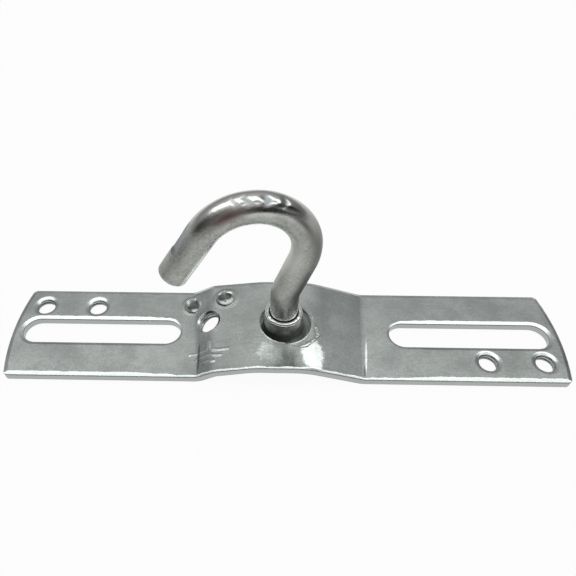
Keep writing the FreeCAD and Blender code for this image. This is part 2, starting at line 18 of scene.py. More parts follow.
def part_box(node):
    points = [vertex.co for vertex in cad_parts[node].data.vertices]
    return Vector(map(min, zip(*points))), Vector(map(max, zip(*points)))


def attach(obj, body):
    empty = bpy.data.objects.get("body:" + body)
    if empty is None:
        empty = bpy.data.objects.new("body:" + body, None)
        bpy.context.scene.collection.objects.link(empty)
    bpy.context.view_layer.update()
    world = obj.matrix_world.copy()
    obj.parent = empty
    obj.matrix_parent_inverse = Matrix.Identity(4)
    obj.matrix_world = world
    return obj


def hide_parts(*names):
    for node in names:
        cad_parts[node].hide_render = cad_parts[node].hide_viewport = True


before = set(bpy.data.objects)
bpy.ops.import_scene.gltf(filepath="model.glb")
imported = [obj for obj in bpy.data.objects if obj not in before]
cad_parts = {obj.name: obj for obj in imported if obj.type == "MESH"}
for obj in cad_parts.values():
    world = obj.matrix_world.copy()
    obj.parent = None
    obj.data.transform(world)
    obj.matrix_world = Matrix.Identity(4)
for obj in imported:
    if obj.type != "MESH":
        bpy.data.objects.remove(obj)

MM = 0.001
PER_MM = 1.0 / MM
BODY = "root"
IMAGE_SIDE = 576
WHITE = (1.0, 1.0, 1.0, 1.0)
BEVEL_SAMPLES = 6
LOG = logging.getLogger("ceiling_hook")

Colour = tuple[float, float, float]
Place = tuple[float, float, float]
Pair = tuple[float, float]


class Slot(Enum):
    """Material slots of the record."""

    STRAP = "strap_zinc"
    ROD = "rod_zinc"
    SLEEVE = "sleeve_steel"


class Value:
    """A shader socket that adds Math nodes when it stands in an expression."""

    def __init__(self, graph: "Graph", socket: bpy.types.NodeSocket | None) -> None:
        """Keeps the socket and the graph that new nodes go to."""
        self.graph = graph
        self.socket = socket

    def _math(self, operation: str, first: Any, second: Any = 0.0) -> "Value":
        """Math node of one operation on two values."""
        return self.graph.node("ShaderNodeMath", {"operation": operation}, {0: first, 1: second})

    def __add__(self, other: Any) -> "Value":
        """Sum."""
        return self._math("ADD", self, other)

    __radd__ = __add__

    def __sub__(self, other: Any) -> "Value":
        """Difference."""
        return self._math("SUBTRACT", self, other)

    def __rsub__(self, other: Any) -> "Value":
        """Difference from a number."""
        return self._math("SUBTRACT", other, self)

    def __mul__(self, other: Any) -> "Value":
        """Product."""
        return self._math("MULTIPLY", self, other)

    __rmul__ = __mul__

    def __truediv__(self, other: Any) -> "Value":
        """Quotient."""
        return self._math("DIVIDE", self, other)

    def __pow__(self, power: float) -> "Value":
        """Power."""
        return self._math("POWER", self, power)

    def __abs__(self) -> "Value":
        """Size without its sign."""
        return self._math("ABSOLUTE", self)

    def at_least(self, other: Any) -> "Value":
        """The larger of two values."""
        return self._math("MAXIMUM", self, other)

    def step(self, low: float, high: float) -> "Value":
        """Smooth rise from 0 at one value to 1 at another.

        Args:
            low: Where the rise starts.
            high: Where it ends.

        Returns:
            The rise.
        """
        settings = {"interpolation_type": "SMOOTHSTEP", "clamp": True}
        inputs = {"Value": self, "From Min": low, "From Max": high}
        return self.graph.node("ShaderNodeMapRange", settings, inputs)


class Graph:
    """Node tree with one way in for every node."""

    def __init__(self, tree: bpy.types.NodeTree) -> None:
        """Empties the tree."""
        self.tree = tree
        tree.nodes.clear()

    def node(
        self,
        kind: str,
        settings: Mapping[str, Any] | None = None,
        inputs: Mapping[Any, Any] | None = None,
        output: int | str = 0,
    ) -> Value:
        """Adds a node.

        Args:
            kind: Blender's name for the node type.
            settings: Attributes of the node, set first.
            inputs: Numbers, colours or values for sockets, by name or index.
            output: The socket to return.

        Returns:
            The wanted output socket.
        """
        made = self.tree.nodes.new(kind)
        for name, value in (settings or {}).items():
            setattr(made, name, value)
        for key, value in (inputs or {}).items():
            if isinstance(value, Value):
                self.tree.links.new(value.socket, made.inputs[key])
            else:
                made.inputs[key].default_value = value
        return Value(self, made.outputs[output] if made.outputs else None)

    def millimetres(self, stretch: Place = (1.0, 1.0, 1.0)) -> Value:
        """Object coordinates in millimetres, divided by a stretch along each axis."""
        inputs = {"Vector": self.node("ShaderNodeTexCoord", output="Object"),
                  "Scale": tuple(PER_MM / part for part in stretch)}
        return self.node("ShaderNodeMapping", {"vector_type": "POINT"}, inputs)

    @cached_property
    def place(self) -> Value:
        """Object coordinates in millimetres."""
        return self.millimetres()

    def noise(
        self, size: float, detail: float = 3.0, rough: float = 0.6, place: Value | None = None
    ) -> Value:
        """Noise with features of about a given size, in millimetres unless another place is given."""
        inputs = {"Vector": place or self.place, "Scale": 1.0 / size, "Detail": detail, "Roughness": rough}
        return self.node("ShaderNodeTexNoise", {"noise_dimensions": "3D"}, inputs)

    def mix(self, factor: Value, first: Any, second: Any) -> Value:
        """Colour between two colours."""
        inputs = {0: factor, 6: self.colour(first), 7: self.colour(second)}
        return self.node("ShaderNodeMix", {"data_type": "RGBA"}, inputs, 2)

    @staticmethod
    def colour(value: Any) -> Any:
        """Colour with full alpha, or a linked colour as it is."""
        return value if isinstance(value, Value) else (*value, 1.0)

    def split(self, vector: Value, axes: str = "XY") -> tuple[Value, ...]:
        """Parts of a vector along the named axes."""
        return tuple(self.node("ShaderNodeSeparateXYZ", None, {0: vector}, axis) for axis in axes)

    def combine(self, **parts: Any) -> Value:
        """Vector from its parts, named X, Y and Z."""
        return self.node("ShaderNodeCombineXYZ", None, parts)

    def vector(self, operation: str, *parts: Value) -> Value:
        """Vector Math node of one operation on its vectors."""
        return self.node("ShaderNodeVectorMath", {"operation": operation}, dict(enumerate(parts)))

    def rounded(self, radius: float) -> Value:
        """Surface direction, softened over edges by a radius in millimetres."""
        return self.node("ShaderNodeBevel", {"samples": BEVEL_SAMPLES}, {"Radius": radius * MM})


@dataclass(frozen=True)
class Zone:
    """Part of a finish that a mesh attribute marks, with its own colour, roughness and share of metal."""

    attribute: str
    colour: Colour
    roughness: float
    metallic: float = 1.0


@dataclass(frozen=True)
class PlateFinish:
    """Zinc plate on steel: cloudy tone, fine crystals, drawing lines along the sheet and marked zones."""

    name: str
    bright: Colour
    dull: Colour
    roughness: float
    roughness_spread: float
    cloud_size: float
    grain_size: float
    grain_depth: float
    line_stretch: Place
    line_depth: float
    grain_share: float = 0.25
    line_share: float = 0.15
    line_size: float = 0.35
    contrast: Pair = (0.35, 0.65)
    cloud_swell: float = 1.5
    edge_round: float = 0.08
    zones: tuple[Zone, ...] = ()

    def facing(self, graph: Graph) -> Value:
        """Surface direction before the fine relief, softened over edges."""
        return graph.rounded(self.edge_round)

    def extra_height(self, graph: Graph) -> Any:
        """Height in millimetres that a finish adds to the common relief."""
        return 0.0

    def tint(self, graph: Graph, colour: Value) -> Value:
        """Colour after the finish's own local tints."""
        return colour

    def material(self) -> bpy.types.Material:
        """Builds the material.

        Returns:
            A metal whose colour, roughness and normal vary with Object coordinates and marked zones.
        """
        made = bpy.data.materials.new(self.name)
        made.use_nodes = True
        graph = Graph(made.node_tree)
        cloud = graph.noise(self.cloud_size, detail=4.0, rough=0.55)
        grain = graph.noise(self.grain_size)
        lines = graph.noise(self.line_size, detail=2.0, place=graph.millimetres(self.line_stretch))
        cloud_share = 1.0 - self.line_share - self.grain_share
        tone = cloud * cloud_share + grain * self.grain_share + lines * self.line_share
        colour = self.tint(graph, graph.mix(tone.step(*self.contrast), self.dull, self.bright))
        roughness = (cloud + grain - 1.0) * self.roughness_spread + self.roughness
        metallic: Any = 1.0
        for zone in self.zones:
            mask = graph.node("ShaderNodeAttribute", {"attribute_name": zone.attribute}, output="Fac")
            colour = graph.mix(mask, colour, zone.colour)
            roughness = roughness * (1.0 - mask) + mask * zone.roughness
            if zone.metallic < 1.0:
                metallic = metallic - mask * (1.0 - zone.metallic)
        height = grain * self.grain_depth + lines * self.line_depth
        height = height + cloud * (self.grain_depth * self.cloud_swell) + self.extra_height(graph)
        relief = {"Strength": 1.0, "Distance": MM, "Height": height, "Normal": self.facing(graph)}
        bump = graph.node("ShaderNodeBump", None, relief)
        inputs = {"Base Color": colour, "Metallic": metallic, "Roughness": roughness, "Normal": bump}
        shader = graph.node("ShaderNodeBsdfPrincipled", None, inputs)
        graph.node("ShaderNodeOutputMaterial", None, {"Surface": shader})
        return made


@dataclass(frozen=True)
class Dish:
    """Patch of the strap that leans towards the front, by its place, half-size and lean; slant skews it."""

    centre: Pair
    half: Pair
    lean: float
    ragged: float
    slant: float = 0.0


@dataclass(frozen=True)
class Rim:
    """Rim of a round hole that leans into it, from an inner to an outer reach; a negative lean stands up.

    A bevel, by its inner and outer radius, takes the rim's lean instead of its own.
    """

    centre: Pair
    reach: Pair
    lean: float
    bevel: Pair | None = None


@dataclass(frozen=True)
class StrapFinish(PlateFinish):
    """Plate of the strap: drawn edges, rims of holes, leaning and hammered patches, cut walls, and painted
    shade in creases and along the walls' upper edges.
    """

    dishes: tuple[Dish, ...] = ()
    dish_fade: Pair = (0.25, 1.0)
    fray_size: float = 1.1
    rims: tuple[Rim, ...] = ()
    bevel_fade: float = 0.05
    side_fade: float = 0.01
    # Ovals of painted shade along the bends of the arch, and the strength of that painted shade.
    creases: tuple[Dish, ...] = ()
    crease_shade_share: float = 0.55
    cut_wall: Colour = (0.40, 0.42, 0.41)
    wall_rise: Pair = (0.1, 0.35)
    # Painted shade line along the upper edge of the cut walls: its colour, which also paints the shade in the
    # creases, and the reach and turn of the softened surface that place it.
    painted_shade_line: Colour = (0.05, 0.055, 0.05)
    shade_line_reach: float = 0.45
    shade_line_turn: Pair = (0.05, 0.3)
    hammered: Dish = Dish((-4.6, -4.2), (3.6, 3.6), 0.0, 0.8)
    hammer_size: float = 0.55
    hammer_depth: float = 0.05
    front_edge: float = -9.525
    front_even: Pair = (0.3, 0.6)
    front_share: float = 0.7
    slot_middle: float = 32.55
    slot_run: float = 11.425
    slot_half: float = 2.625
    drawn: float = 0.24
    drawn_wider: float = 0.34
    drawn_outer: Pair = (16.0, 27.0)
    drawn_spread: float = 0.5
    drawn_size: float = 1.6
    drawn_fade: float = 0.16
    drawn_end: Pair = (0.75, 0.9)

    def patch(self, graph: Graph, dish: Dish) -> Value:
        """Soft oval mask with a ragged rim: a step of the squared shares of both half-sizes, plus noise.

        Args:
            graph: The material's nodes.
            dish: The oval.

        Returns:
            1 in the middle of the dish and 0 past its half-size.
        """
        across, along = (part - middle for part, middle in zip(graph.split(graph.place), dish.centre))
        across, along = (across - along * dish.slant) / dish.half[0], along / dish.half[1]
        frayed = (graph.noise(self.fray_size) - 0.5) * dish.ragged
        return 1.0 - (across * across + along * along + frayed).step(*self.dish_fade)

    def edge_distances(self, graph: Graph) -> tuple[Value, Value]:
        """Distance from the front edge, and from the wall of the nearer slot.

        Args:
            graph: The material's nodes.

        Returns:
            Both distances, in millimetres; the slot is a run with round ends, alike on both sides.
        """
        x, y = graph.split(graph.place)
        past = (abs(abs(x) - self.slot_middle) - self.slot_run).at_least(0.0)
        return y - self.front_edge, (past * past + y * y) ** 0.5 - self.slot_half

    def round_rims(self, graph: Graph, facing: Value) -> Value:
        """Leans the sheet in a ring round each hole.

        Args:
            graph: The material's nodes.
            facing: The surface's direction.

        Returns:
            The direction; the holes lie alike after half a turn, so places on the left are turned over.
        """
        x, y = graph.split(graph.place)
        side = x.step(-self.side_fade, self.side_fade) * 2.0 - 1.0
        for rim in self.rims:
            across, along = x - side * rim.centre[0], y - side * rim.centre[1]
            reach = (across * across + along * along) ** 0.5
            lean = (1.0 - reach.step(*rim.reach)) * -math.tan(rim.lean) / reach
            if rim.bevel:
                rise, fall = (reach.step(edge, edge + self.bevel_fade) for edge in rim.bevel)
                flat = 1.0 - rise * (1.0 - fall)
                facing = graph.vector("MULTIPLY", facing, graph.combine(X=flat, Y=flat, Z=1.0))
            facing = graph.vector("ADD", facing, graph.combine(X=across * lean, Y=along * lean))
        return facing

    def drawn_edges(self, graph: Graph, facing: Value) -> Value:
        """Keeps the slope of the drawn-down edges on their outer part only, up to a ragged line.

        Args:
            graph: The material's nodes.
            facing: The surface's direction.

        Returns:
            The direction, laid flat past the ragged line, and evened along the front edge.
        """
        front, slot = self.edge_distances(graph)
        outer = abs(graph.split(graph.place)[0]).step(*self.drawn_outer)
        ragged = (graph.noise(self.drawn_size) - 0.5) * self.drawn_spread
        limit = ragged + outer * self.drawn_wider + self.drawn
        flat_front, flat_slot = (
            (gap - limit).step(0.0, self.drawn_fade) * (1.0 - gap.step(*self.drawn_end))
            for gap in (front, slot)
        )
        even = (1.0 - front.step(*self.front_even)) * self.front_share
        keep = graph.combine(X=1.0 - flat_slot - even, Y=(1.0 - flat_slot) * (1.0 - flat_front), Z=1.0)
        return graph.vector("MULTIPLY", facing, keep)

    def facing(self, graph: Graph) -> Value:
        """Softened direction with the edges and rims, turned towards the front inside each dish.

        Args:
            graph: The material's nodes.

        Returns:
            The direction, of length 1.
        """
        facing = self.drawn_edges(graph, super().facing(graph))
        facing = self.round_rims(graph, facing)
        for dish in self.dishes:
            lean = graph.combine(Y=self.patch(graph, dish) * -math.tan(dish.lean))
            facing = graph.vector("ADD", facing, lean)
        return graph.vector("NORMALIZE", facing)

    def tint(self, graph: Graph, colour: Value) -> Value:
        """Duller metal on the walls that the punches cut, with painted shade lines at their upper edge and
        painted shade in creases.

        Args:
            graph: The material's nodes.
            colour: The plate's colour.

        Returns:
            The tinted colour; a wall is where the plain surface faces sideways.
        """
        # Painted shade in the creases of the arch.
        for crease in self.creases:
            colour = graph.mix(self.patch(graph, crease) * self.crease_shade_share, colour, self.painted_shade_line)
        plain = graph.node("ShaderNodeNewGeometry", output="True Normal")
        rise, turned = (graph.split(way, "Z")[0] for way in (plain, graph.rounded(self.shade_line_reach)))
        wall = 1.0 - (rise * rise).step(*self.wall_rise)
        colour = graph.mix(wall, colour, self.cut_wall)
        # Painted shade line where the cut wall turns up into the top surface.
        return graph.mix(wall * turned.step(*self.shade_line_turn), colour, self.painted_shade_line)

    def extra_height(self, graph: Graph) -> Any:
        """Hammer marks left of the middle hole."""
        marks = graph.noise(self.hammer_size, detail=2.0, rough=0.5)
        return marks * self.patch(graph, self.hammered) * self.hammer_depth


STRAP_PLATE = StrapFinish(
    name="strap_plate", bright=(0.65, 0.685, 0.665), dull=(0.50, 0.54, 0.52), roughness=0.25,
    roughness_spread=0.18, cloud_size=5.0, grain_size=0.45, grain_depth=0.007,
    line_stretch=(9.0, 1.0, 1.0), line_depth=0.006, edge_round=0.18,
    rims=(
        Rim((44.09, -5.65), (2.0, 2.6), math.radians(17.0), (1.74, 2.1)),
        Rim((34.47, -5.65), (2.0, 2.6), math.radians(17.0), (1.74, 2.1)),
        Rim((0.0, 0.0), (4.55, 4.75), math.radians(-15.0)),
    ),
    dishes=(
        Dish((4.5, -6.8), (2.3, 3.9), math.radians(9.8), 1.5),
        Dish((-2.6, -6.4), (2.6, 2.6), math.radians(8.0), 1.4),
        Dish((13.85, -4.7), (0.24, 4.3), math.radians(8.0), 0.7, 0.122),
    ),
    # Ovals of painted shade on the arch's left and right bends.
    creases=(
        Dish((-14.8, -6.1), (0.26, 3.6), 0.0, 1.2, -0.02),
        Dish((13.2, -8.0), (0.22, 1.3), 0.0, 0.9, 0.122),
    ),
    # Zones of the punch marks: a white, non-metal painted highlight on their near flanks, and dark painted
    # shade with some grime on their far flanks and middles.
    zones=(Zone("painted_highlight", (0.96, 0.97, 0.95), 0.40, 0.0), Zone("shade_and_dirt", (0.10, 0.105, 0.10), 0.45, 0.6)),
)
ROD_PLATE = PlateFinish(
    name="rod_plate", bright=(0.47, 0.48, 0.455), dull=(0.27, 0.28, 0.26), roughness=0.40,
    roughness_spread=0.22, cloud_size=2.5, grain_size=0.42, grain_depth=0.016,
    line_stretch=(1.0, 1.0, 1.0), line_depth=0.004, grain_share=0.5,
    zones=(
        # Painted shade: darker colour on the outer side of the limb and shank.
        Zone("painted_limb_shade", (0.24, 0.245, 0.23), 0.45),
        # Painted reflection: lighter colour on the inner side of the limb and shank, standing in for the
        # floor's reflection.
        Zone("painted_inner_reflection", (0.56, 0.57, 0.54), 0.45),
        Zone("polish", (0.68, 0.69, 0.66), 0.19),
        Zone("stain", (0.17, 0.078, 0.064), 0.45, 0.25),
        # Dark streak past the crown: partly grime, partly painted shade that carries on the dark band of
        # reflection.
        Zone("smut_and_painted_shade", (0.10, 0.095, 0.085), 0.45, 0.5),
        # Painted shade on the floors of the jaw dents, darkening the gaps between highlights.
        Zone("painted_dent_shade", (0.24, 0.265, 0.27), 0.32),
        Zone("ground", (0.27, 0.29, 0.30), 0.50),
    ),
)
SLEEVE_PLATE = PlateFinish(
    name="sleeve_plate", bright=(0.66, 0.67, 0.65), dull=(0.46, 0.47, 0.45), roughness=0.30,
    roughness_spread=0.16, cloud_size=1.2, grain_size=0.25, grain_depth=0.006,
    line_stretch=(1.0, 1.0, 4.0), line_depth=0.003,
    # The root zone is painted shade: darker colour over the sleeve's lower part, round the hole in the strap.
    zones=(Zone("rim", (0.80, 0.82, 0.80), 0.16), Zone("root", (0.38, 0.39, 0.38), 0.42)),
)


def smooth_step(values: np.ndarray, low: float, high: float) -> np.ndarray:
    """Smooth rise from 0 at low to 1 at high: 3t^2 - 2t^3 of the clipped share t.

    Args:
        values: Any array.
        low: Where the rise starts.
        high: Where it ends, which may be below low.

    Returns:
        Array of the same shape.
    """
    share = np.clip((values - low) / (high - low), 0.0, 1.0)
    return share * share * (3.0 - 2.0 * share)


def full_turn(columns: int) -> np.ndarray:
    """One row of angles, evenly round a full turn."""
    return np.linspace(0.0, 2 * math.pi, columns, endpoint=False)[None, :]


def closed_pad(
    x: np.ndarray, y: np.ndarray, top: np.ndarray, border: np.ndarray, depth: float
) -> list[np.ndarray]:
    """Sheet of points, and a belly under it whose depth fades to nothing over the last tenth to the border.

    Args:
        x: Places along the strap.
        y: Places across it.
        top: Heights of the sheet.
        border: Share of the way from the middle to the border.
        depth: Depth of the belly.

    Returns:
        Both layers of points.
    """
    belly = top - depth * smooth_step(border, 1.0, 0.9)
    return [np.stack([x, y, level], axis=-1) for level in (top, belly)]


def grid_quads(rows: int, columns: int, wrap: bool) -> np.ndarray:
    """Quads between the neighbours of a grid of points stored row by row.

    Args:
        rows: Number of rows.
        columns: Number of points in a row.
        wrap: Whether the last point of a row joins the first.

    Returns:
        Array of four indices for each quad.
    """
    row = np.arange(rows - 1)[:, None]
    column = np.arange(columns if wrap else columns - 1)[None, :]
    beside = (column + 1) % columns
    corners = (row * columns + column, row * columns + beside,
               (row + 1) * columns + beside, (row + 1) * columns + column)
    return np.stack(np.broadcast_arrays(*corners), axis=-1).reshape(-1, 4)


@dataclass
class Piece:
    """One new mesh, put together from grids of points in millimetres."""

    name: str
    slot: Slot
    finish: PlateFinish
    weld: float = 1e-4
    sharp_angle: float = math.radians(50.0)

    def build(
        self,
        grids: Sequence[np.ndarray],
        masks: Mapping[str, Sequence[np.ndarray]] | None = None,
        replaces: str | None = None,
        wrap: bool = True,
    ) -> bpy.types.Object:
        """Makes the mesh, closes its seams and poles, and sets it on its body.

        Args:
            grids: Arrays of points, rows by columns by 3.
            masks: Wear attributes by name, one array of rows by columns for each grid.
            replaces: CAD node that the piece stands for.
            wrap: Whether the rows are closed rings.

        Returns:
            The finished object.
        """
        points = np.concatenate([grid.reshape(-1, 3) for grid in grids]) * MM
        starts = np.cumsum([0] + [grid.shape[0] * grid.shape[1] for grid in grids])
        quads = [grid_quads(*grid.shape[:2], wrap) + start for grid, start in zip(grids, starts)]
        mesh = bpy.data.meshes.new(self.name)
        mesh.from_pydata(points, [], np.concatenate(quads))
        for name, arrays in (masks or {}).items():
            layer = mesh.attributes.new(name, "FLOAT", "POINT")
            layer.data.foreach_set("value", np.concatenate([a.ravel() for a in arrays]).astype(np.float32))
        self._close(mesh)
        mesh.materials.append(self.finish.material())
        made = bpy.data.objects.new(self.name, mesh)
        bpy.context.scene.collection.objects.link(made)
        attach(made, BODY)
        if replaces:
            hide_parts(replaces)
        return made

    def _close(self, mesh: bpy.types.Mesh) -> None:
        """Merges doubled points, turns faces outwards and smooths all but sharp edges.

        Args:
            mesh: The mesh to close.
        """
        shell = bmesh.new()
        shell.from_mesh(mesh)
        bmesh.ops.remove_doubles(shell, verts=shell.verts, dist=self.weld * MM)
        bmesh.ops.dissolve_degenerate(shell, edges=shell.edges, dist=self.weld * MM)
        bmesh.ops.recalc_face_normals(shell, faces=shell.faces)
        shell.to_mesh(mesh)
        shell.free()
        mesh.polygons.foreach_set("use_smooth", np.ones(len(mesh.polygons), dtype=bool))
        mesh.set_sharp_from_angle(angle=self.sharp_angle)
        mesh.update()


@dataclass(frozen=True)
class RodPlaces:
    """Places on the rod: distance along it and from its tip, and angle from its outer side frontwards."""

    along: np.ndarray
    from_tip: np.ndarray
    angle: np.ndarray
    radius: float


@dataclass(frozen=True)
class Dent:
    """A hollow pressed into the rod, by its place along the rod from the tip and its angle round it; a marked
    dent gets painted shade on its floor.
    """

    from_tip: float
    turn_deg: float
    along: float
    around: float
    depth: float
    shaded: bool = True


@dataclass(frozen=True)
class Smear:
    """Spot on the rod by its place, angle, half-sizes and strength; a twist turns it along the rod."""

    from_tip: float
    turn_deg: float
    along: float
    around: float
    strength: float
    twist: float = 0.0

    def mask(self, at: RodPlaces) -> np.ndarray:
        """Bell over the shares of both half-sizes, times the strength.

        Args:
            at: Places on the rod.

        Returns:
            Array from 0 to the strength.
        """
        past = at.from_tip - self.from_tip
        around = at.radius * (at.angle - np.radians(self.turn_deg + self.twist * past)) / self.around
        return self.strength * np.exp(-((past / self.along) ** 2) - around**2)


@dataclass(frozen=True)
class RodWear:
    """Worn and stained parts of the rod, and parts with painted shade and painted reflection, by ranges from
    its tip and in degrees from its outer side.
    """

    crown_edge: float = 60.0
    crown_wider: float = 32.0
    crown_growth: Pair = (8.0, 17.0)
    crown_fade: float = -26.0
    crown_start: Pair = (7.5, 13.0)
    crown_end: Pair = (29.0, 22.0)
    stub_end: Pair = (10.5, 8.0)
    stub_share: float = 0.8
    inside_turn: Pair = (106.0, 122.0)
    inside_end: Pair = (24.0, 18.0)
    limb_start: Pair = (20.0, 27.0)
    # Painted shade on the outer side of the limb and shank, by range from the tip and by angle.
    limb_shade_end: Pair = (44.0, 40.0)
    limb_shade_turn: Pair = (110.0, 60.0)
    # Painted reflection on the inner side of the limb and shank, by range from the tip and by angle.
    inner_reflection_end: Pair = (38.0, 34.0)
    inner_reflection_turn: Pair = (95.0, 150.0)
    stain: Smear = Smear(14.4, 60.0, 2.5, 0.80, 0.92)
    # Dark streak past the crown: partly grime, partly painted shade.
    smut_and_painted_shade: Smear = Smear(25.0, 64.0, 2.8, 0.5, 0.8, 1.5)

    def masks(self, at: RodPlaces) -> dict[str, np.ndarray]:
        """Polish on the crown, the stub and the inside; painted shade on the limb's outer side and a painted
        reflection on its inner side; stain, and a dark streak that is partly grime and partly painted shade.

        Args:
            at: Places on the rod.

        Returns:
            Arrays from 0 to 1, by attribute name: products of smooth steps along and round the rod.
        """
        side = np.degrees(np.abs((at.angle + math.pi) % (2 * math.pi) - math.pi))
        ragged = np.degrees(0.05 * np.sin(0.9 * at.along) + 0.03 * np.sin(2.3 * at.along + 1.0))
        border = self.crown_edge + self.crown_wider * smooth_step(at.from_tip, *self.crown_growth)
        crown = smooth_step(side + ragged - border, 0.0, self.crown_fade)
        reach = smooth_step(at.from_tip, *self.crown_start) * smooth_step(at.from_tip, *self.crown_end)
        stub = self.stub_share * smooth_step(at.along, *self.stub_end)
        inside = smooth_step(side, *self.inside_turn) * smooth_step(at.from_tip, *self.inside_end)
        limb = smooth_step(at.from_tip, *self.limb_start)
        # Painted shade: darker colour on the limb's outer side, standing in for shade.
        painted_limb_shade = smooth_step(at.from_tip, *self.limb_shade_end) * smooth_step(side, *self.limb_shade_turn)
        # Painted reflection: lighter colour on the limb's inner side, standing in for the floor seen in it.
        painted_inner_reflection = smooth_step(at.from_tip, *self.inner_reflection_end) * smooth_step(side, *self.inner_reflection_turn)
        return {
            "polish": np.clip(crown * reach + stub + inside, 0.0, 1.0),
            "painted_limb_shade": limb * painted_limb_shade,
            "painted_inner_reflection": limb * painted_inner_reflection,
            "stain": self.stain.mask(at),
            # Dark streak, partly grime and partly painted shade.
            "smut_and_painted_shade": self.smut_and_painted_shade.mask(at),
        }


@dataclass
class HookRod:
    """Bent rod with its riveted foot, ground flat, jaw dents with painted shade on their floors, and worn
    crown.
    """

    radius: float = 2.38
    turn: float = math.radians(10.0)
    stub_top: float = 11.4
    foot_bend: float = 5.3
    lean: float = math.radians(20.0)
    shank: float = 6.0
    eye_radius: float = 8.5
    eye_sweep: float = math.radians(166.5)
    tail: float = 9.3
    tip_round: float = 0.7
    tip_crown: float = 0.06
    flat_depth: float = 0.36
    flat_start: float = 4.6
    flat_length: float = 5.4
    flat_ramp: float = 0.7
    flat_wave: float = 0.25
    flat_fade: Pair = (0.3, -0.15)
    flat_turn: float = math.radians(-8.0)
    flat_facing: float = 0.3
    rivet_radius: float = 3.7
    rivet_height: float = 1.15
    rivet_crown: float = 0.8
    inset: float = 0.012
    wave: float = 0.010
    dent_sway: float = 0.3
    dent_edge: float = 1.5
    # Gain from a dent's depth to the strength of the painted shade on its floor.
    dent_shade_gain: float = 8.0
    station_gap: float = 0.12
    path_points: int = 6001
    columns: int = 128
    worn: RodWear = RodWear()
    dents: tuple[Dent, ...] = (
        Dent(15.7, 22.0, 0.28, 0.90, 0.10),
        Dent(16.6, 36.0, 0.25, 0.25, 0.06),
        Dent(17.05, 22.0, 0.42, 0.95, 0.13),
        Dent(18.3, 36.0, 0.34, 0.22, 0.05),
        Dent(19.25, 24.0, 0.55, 1.00, 0.15),
        Dent(20.3, 33.0, 0.26, 0.20, 0.04),
        Dent(21.4, 22.0, 0.45, 0.90, 0.11),
        Dent(22.4, 43.0, 1.50, 0.40, 0.10, False),
        Dent(14.1, 50.0, 1.30, 0.45, 0.05, False),
    )

    def foot(self) -> float:
        """Height of the rod's foot, on the lower face of the sleeve's flange."""
        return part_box("flanged_sleeve")[0].z * PER_MM

    def axis(self) -> float:
        """X place of the rod's upright axis, the middle of the sleeve."""
        low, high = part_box("flanged_sleeve")
        return (low.x + high.x) / 2 * PER_MM

    def runs(self) -> np.ndarray:
        """Distances along the rod at which its runs and bends start and end."""
        lengths = (0.0, self.stub_top - self.foot(), self.foot_bend * self.lean, self.shank,
                   self.eye_radius * self.eye_sweep, self.tail)
        return np.cumsum(lengths)

    def stations(self) -> tuple[np.ndarray, np.ndarray]:
        """Distance along the rod and ring radius of each row.

        The rivet head is a dome of one radius below a short rim; the rod has one radius; the tip turns in
        over a quarter round and closes with a low crown.

        Returns:
            Arrays of distance and radius.
        """
        dome = (self.rivet_radius**2 + self.rivet_crown**2) / (2 * self.rivet_crown)
        swing = np.linspace(0.0, math.asin(self.rivet_radius / dome), 16)
        dome_s, dome_r = dome * (1 - np.cos(swing)) - self.rivet_height, dome * np.sin(swing)
        rim_s = np.array([0.5, 0.1, 0.0, 0.0, 0.0]) * (self.rivet_crown - self.rivet_height)
        rim_r = np.array([1.0, 1.0, 0.99, 0.85, 0.7]) * self.rivet_radius
        length = self.runs()[-1]
        count = int(length / self.station_gap)
        bar_s = np.linspace(0.0, length - self.tip_round, count)
        quarter = np.linspace(0.0, math.pi / 2, 9)[1:]
        tip_s = length - self.tip_round * (1 - np.sin(quarter))
        tip_r = self.radius - self.tip_round * (1 - np.cos(quarter))
        end_r = np.linspace(tip_r[-1], 0.0, 12)[1:]
        end_s = length + self.tip_crown * (1 - (end_r / tip_r[-1]) ** 2)
        distance = np.concatenate([dome_s, rim_s, bar_s, tip_s, end_s])
        radius = np.concatenate([dome_r, rim_r, np.full(count, self.radius), tip_r, end_r])
        return distance, radius

    def centre_line(self, distance: np.ndarray) -> tuple[np.ndarray, np.ndarray]:
        """Centre line in the hook's plane: heading turns evenly along each bend, and place is its integral.

        Args:
            distance: Distances along the rod; those below 0 run straight down from the foot.

        Returns:
            Points across and up, and headings from upright.
        """
        runs = self.runs()
        turned = self.lean - self.eye_sweep
        headings = (0.0, 0.0, self.lean, self.lean, turned, turned)
        fine = np.linspace(0.0, runs[-1], self.path_points)
        heading = np.interp(fine, runs, headings)
        steps = np.diff(fine)
        middle = (heading[1:] + heading[:-1]) / 2
        across = np.concatenate([[0.0], np.cumsum(np.sin(middle) * steps)])
        up = np.concatenate([[0.0], np.cumsum(np.cos(middle) * steps)])
        past = np.maximum(distance - runs[-1], 0.0)
        below = np.minimum(distance, 0.0)
        points = np.stack([
            np.interp(distance, fine, across) + past * math.sin(turned),
            np.interp(distance, fine, up) + past * math.cos(turned) + below + self.foot(),
        ], axis=-1)
        return points, np.interp(distance, runs, headings)

    def pressed(self, at: RodPlaces, shaded: bool = False) -> np.ndarray:
        """Depth of the jaw dents: a rounded bell for each, by its share of the half-sizes along and around.

        Args:
            at: Places on the rod.
            shaded: Whether only the dents with painted shade on their floor count.

        Returns:
            Depth in millimetres; a slow wave sways each dent's edge.
        """
        depth = np.zeros(at.along.shape)
        for dent in (dent for dent in self.dents if dent.shaded or not shaded):
            off = (at.angle - math.radians(dent.turn_deg) + math.pi) % (2 * math.pi) - math.pi
            around = self.radius * off
            sway = self.dent_sway * dent.along * np.sin(3.2 * around + 9.0 * dent.from_tip)
            far = ((at.from_tip - dent.from_tip + sway) / dent.along) ** 2 + (around / dent.around) ** 2
            depth = depth + dent.depth * np.exp(-far**self.dent_edge)
        return depth

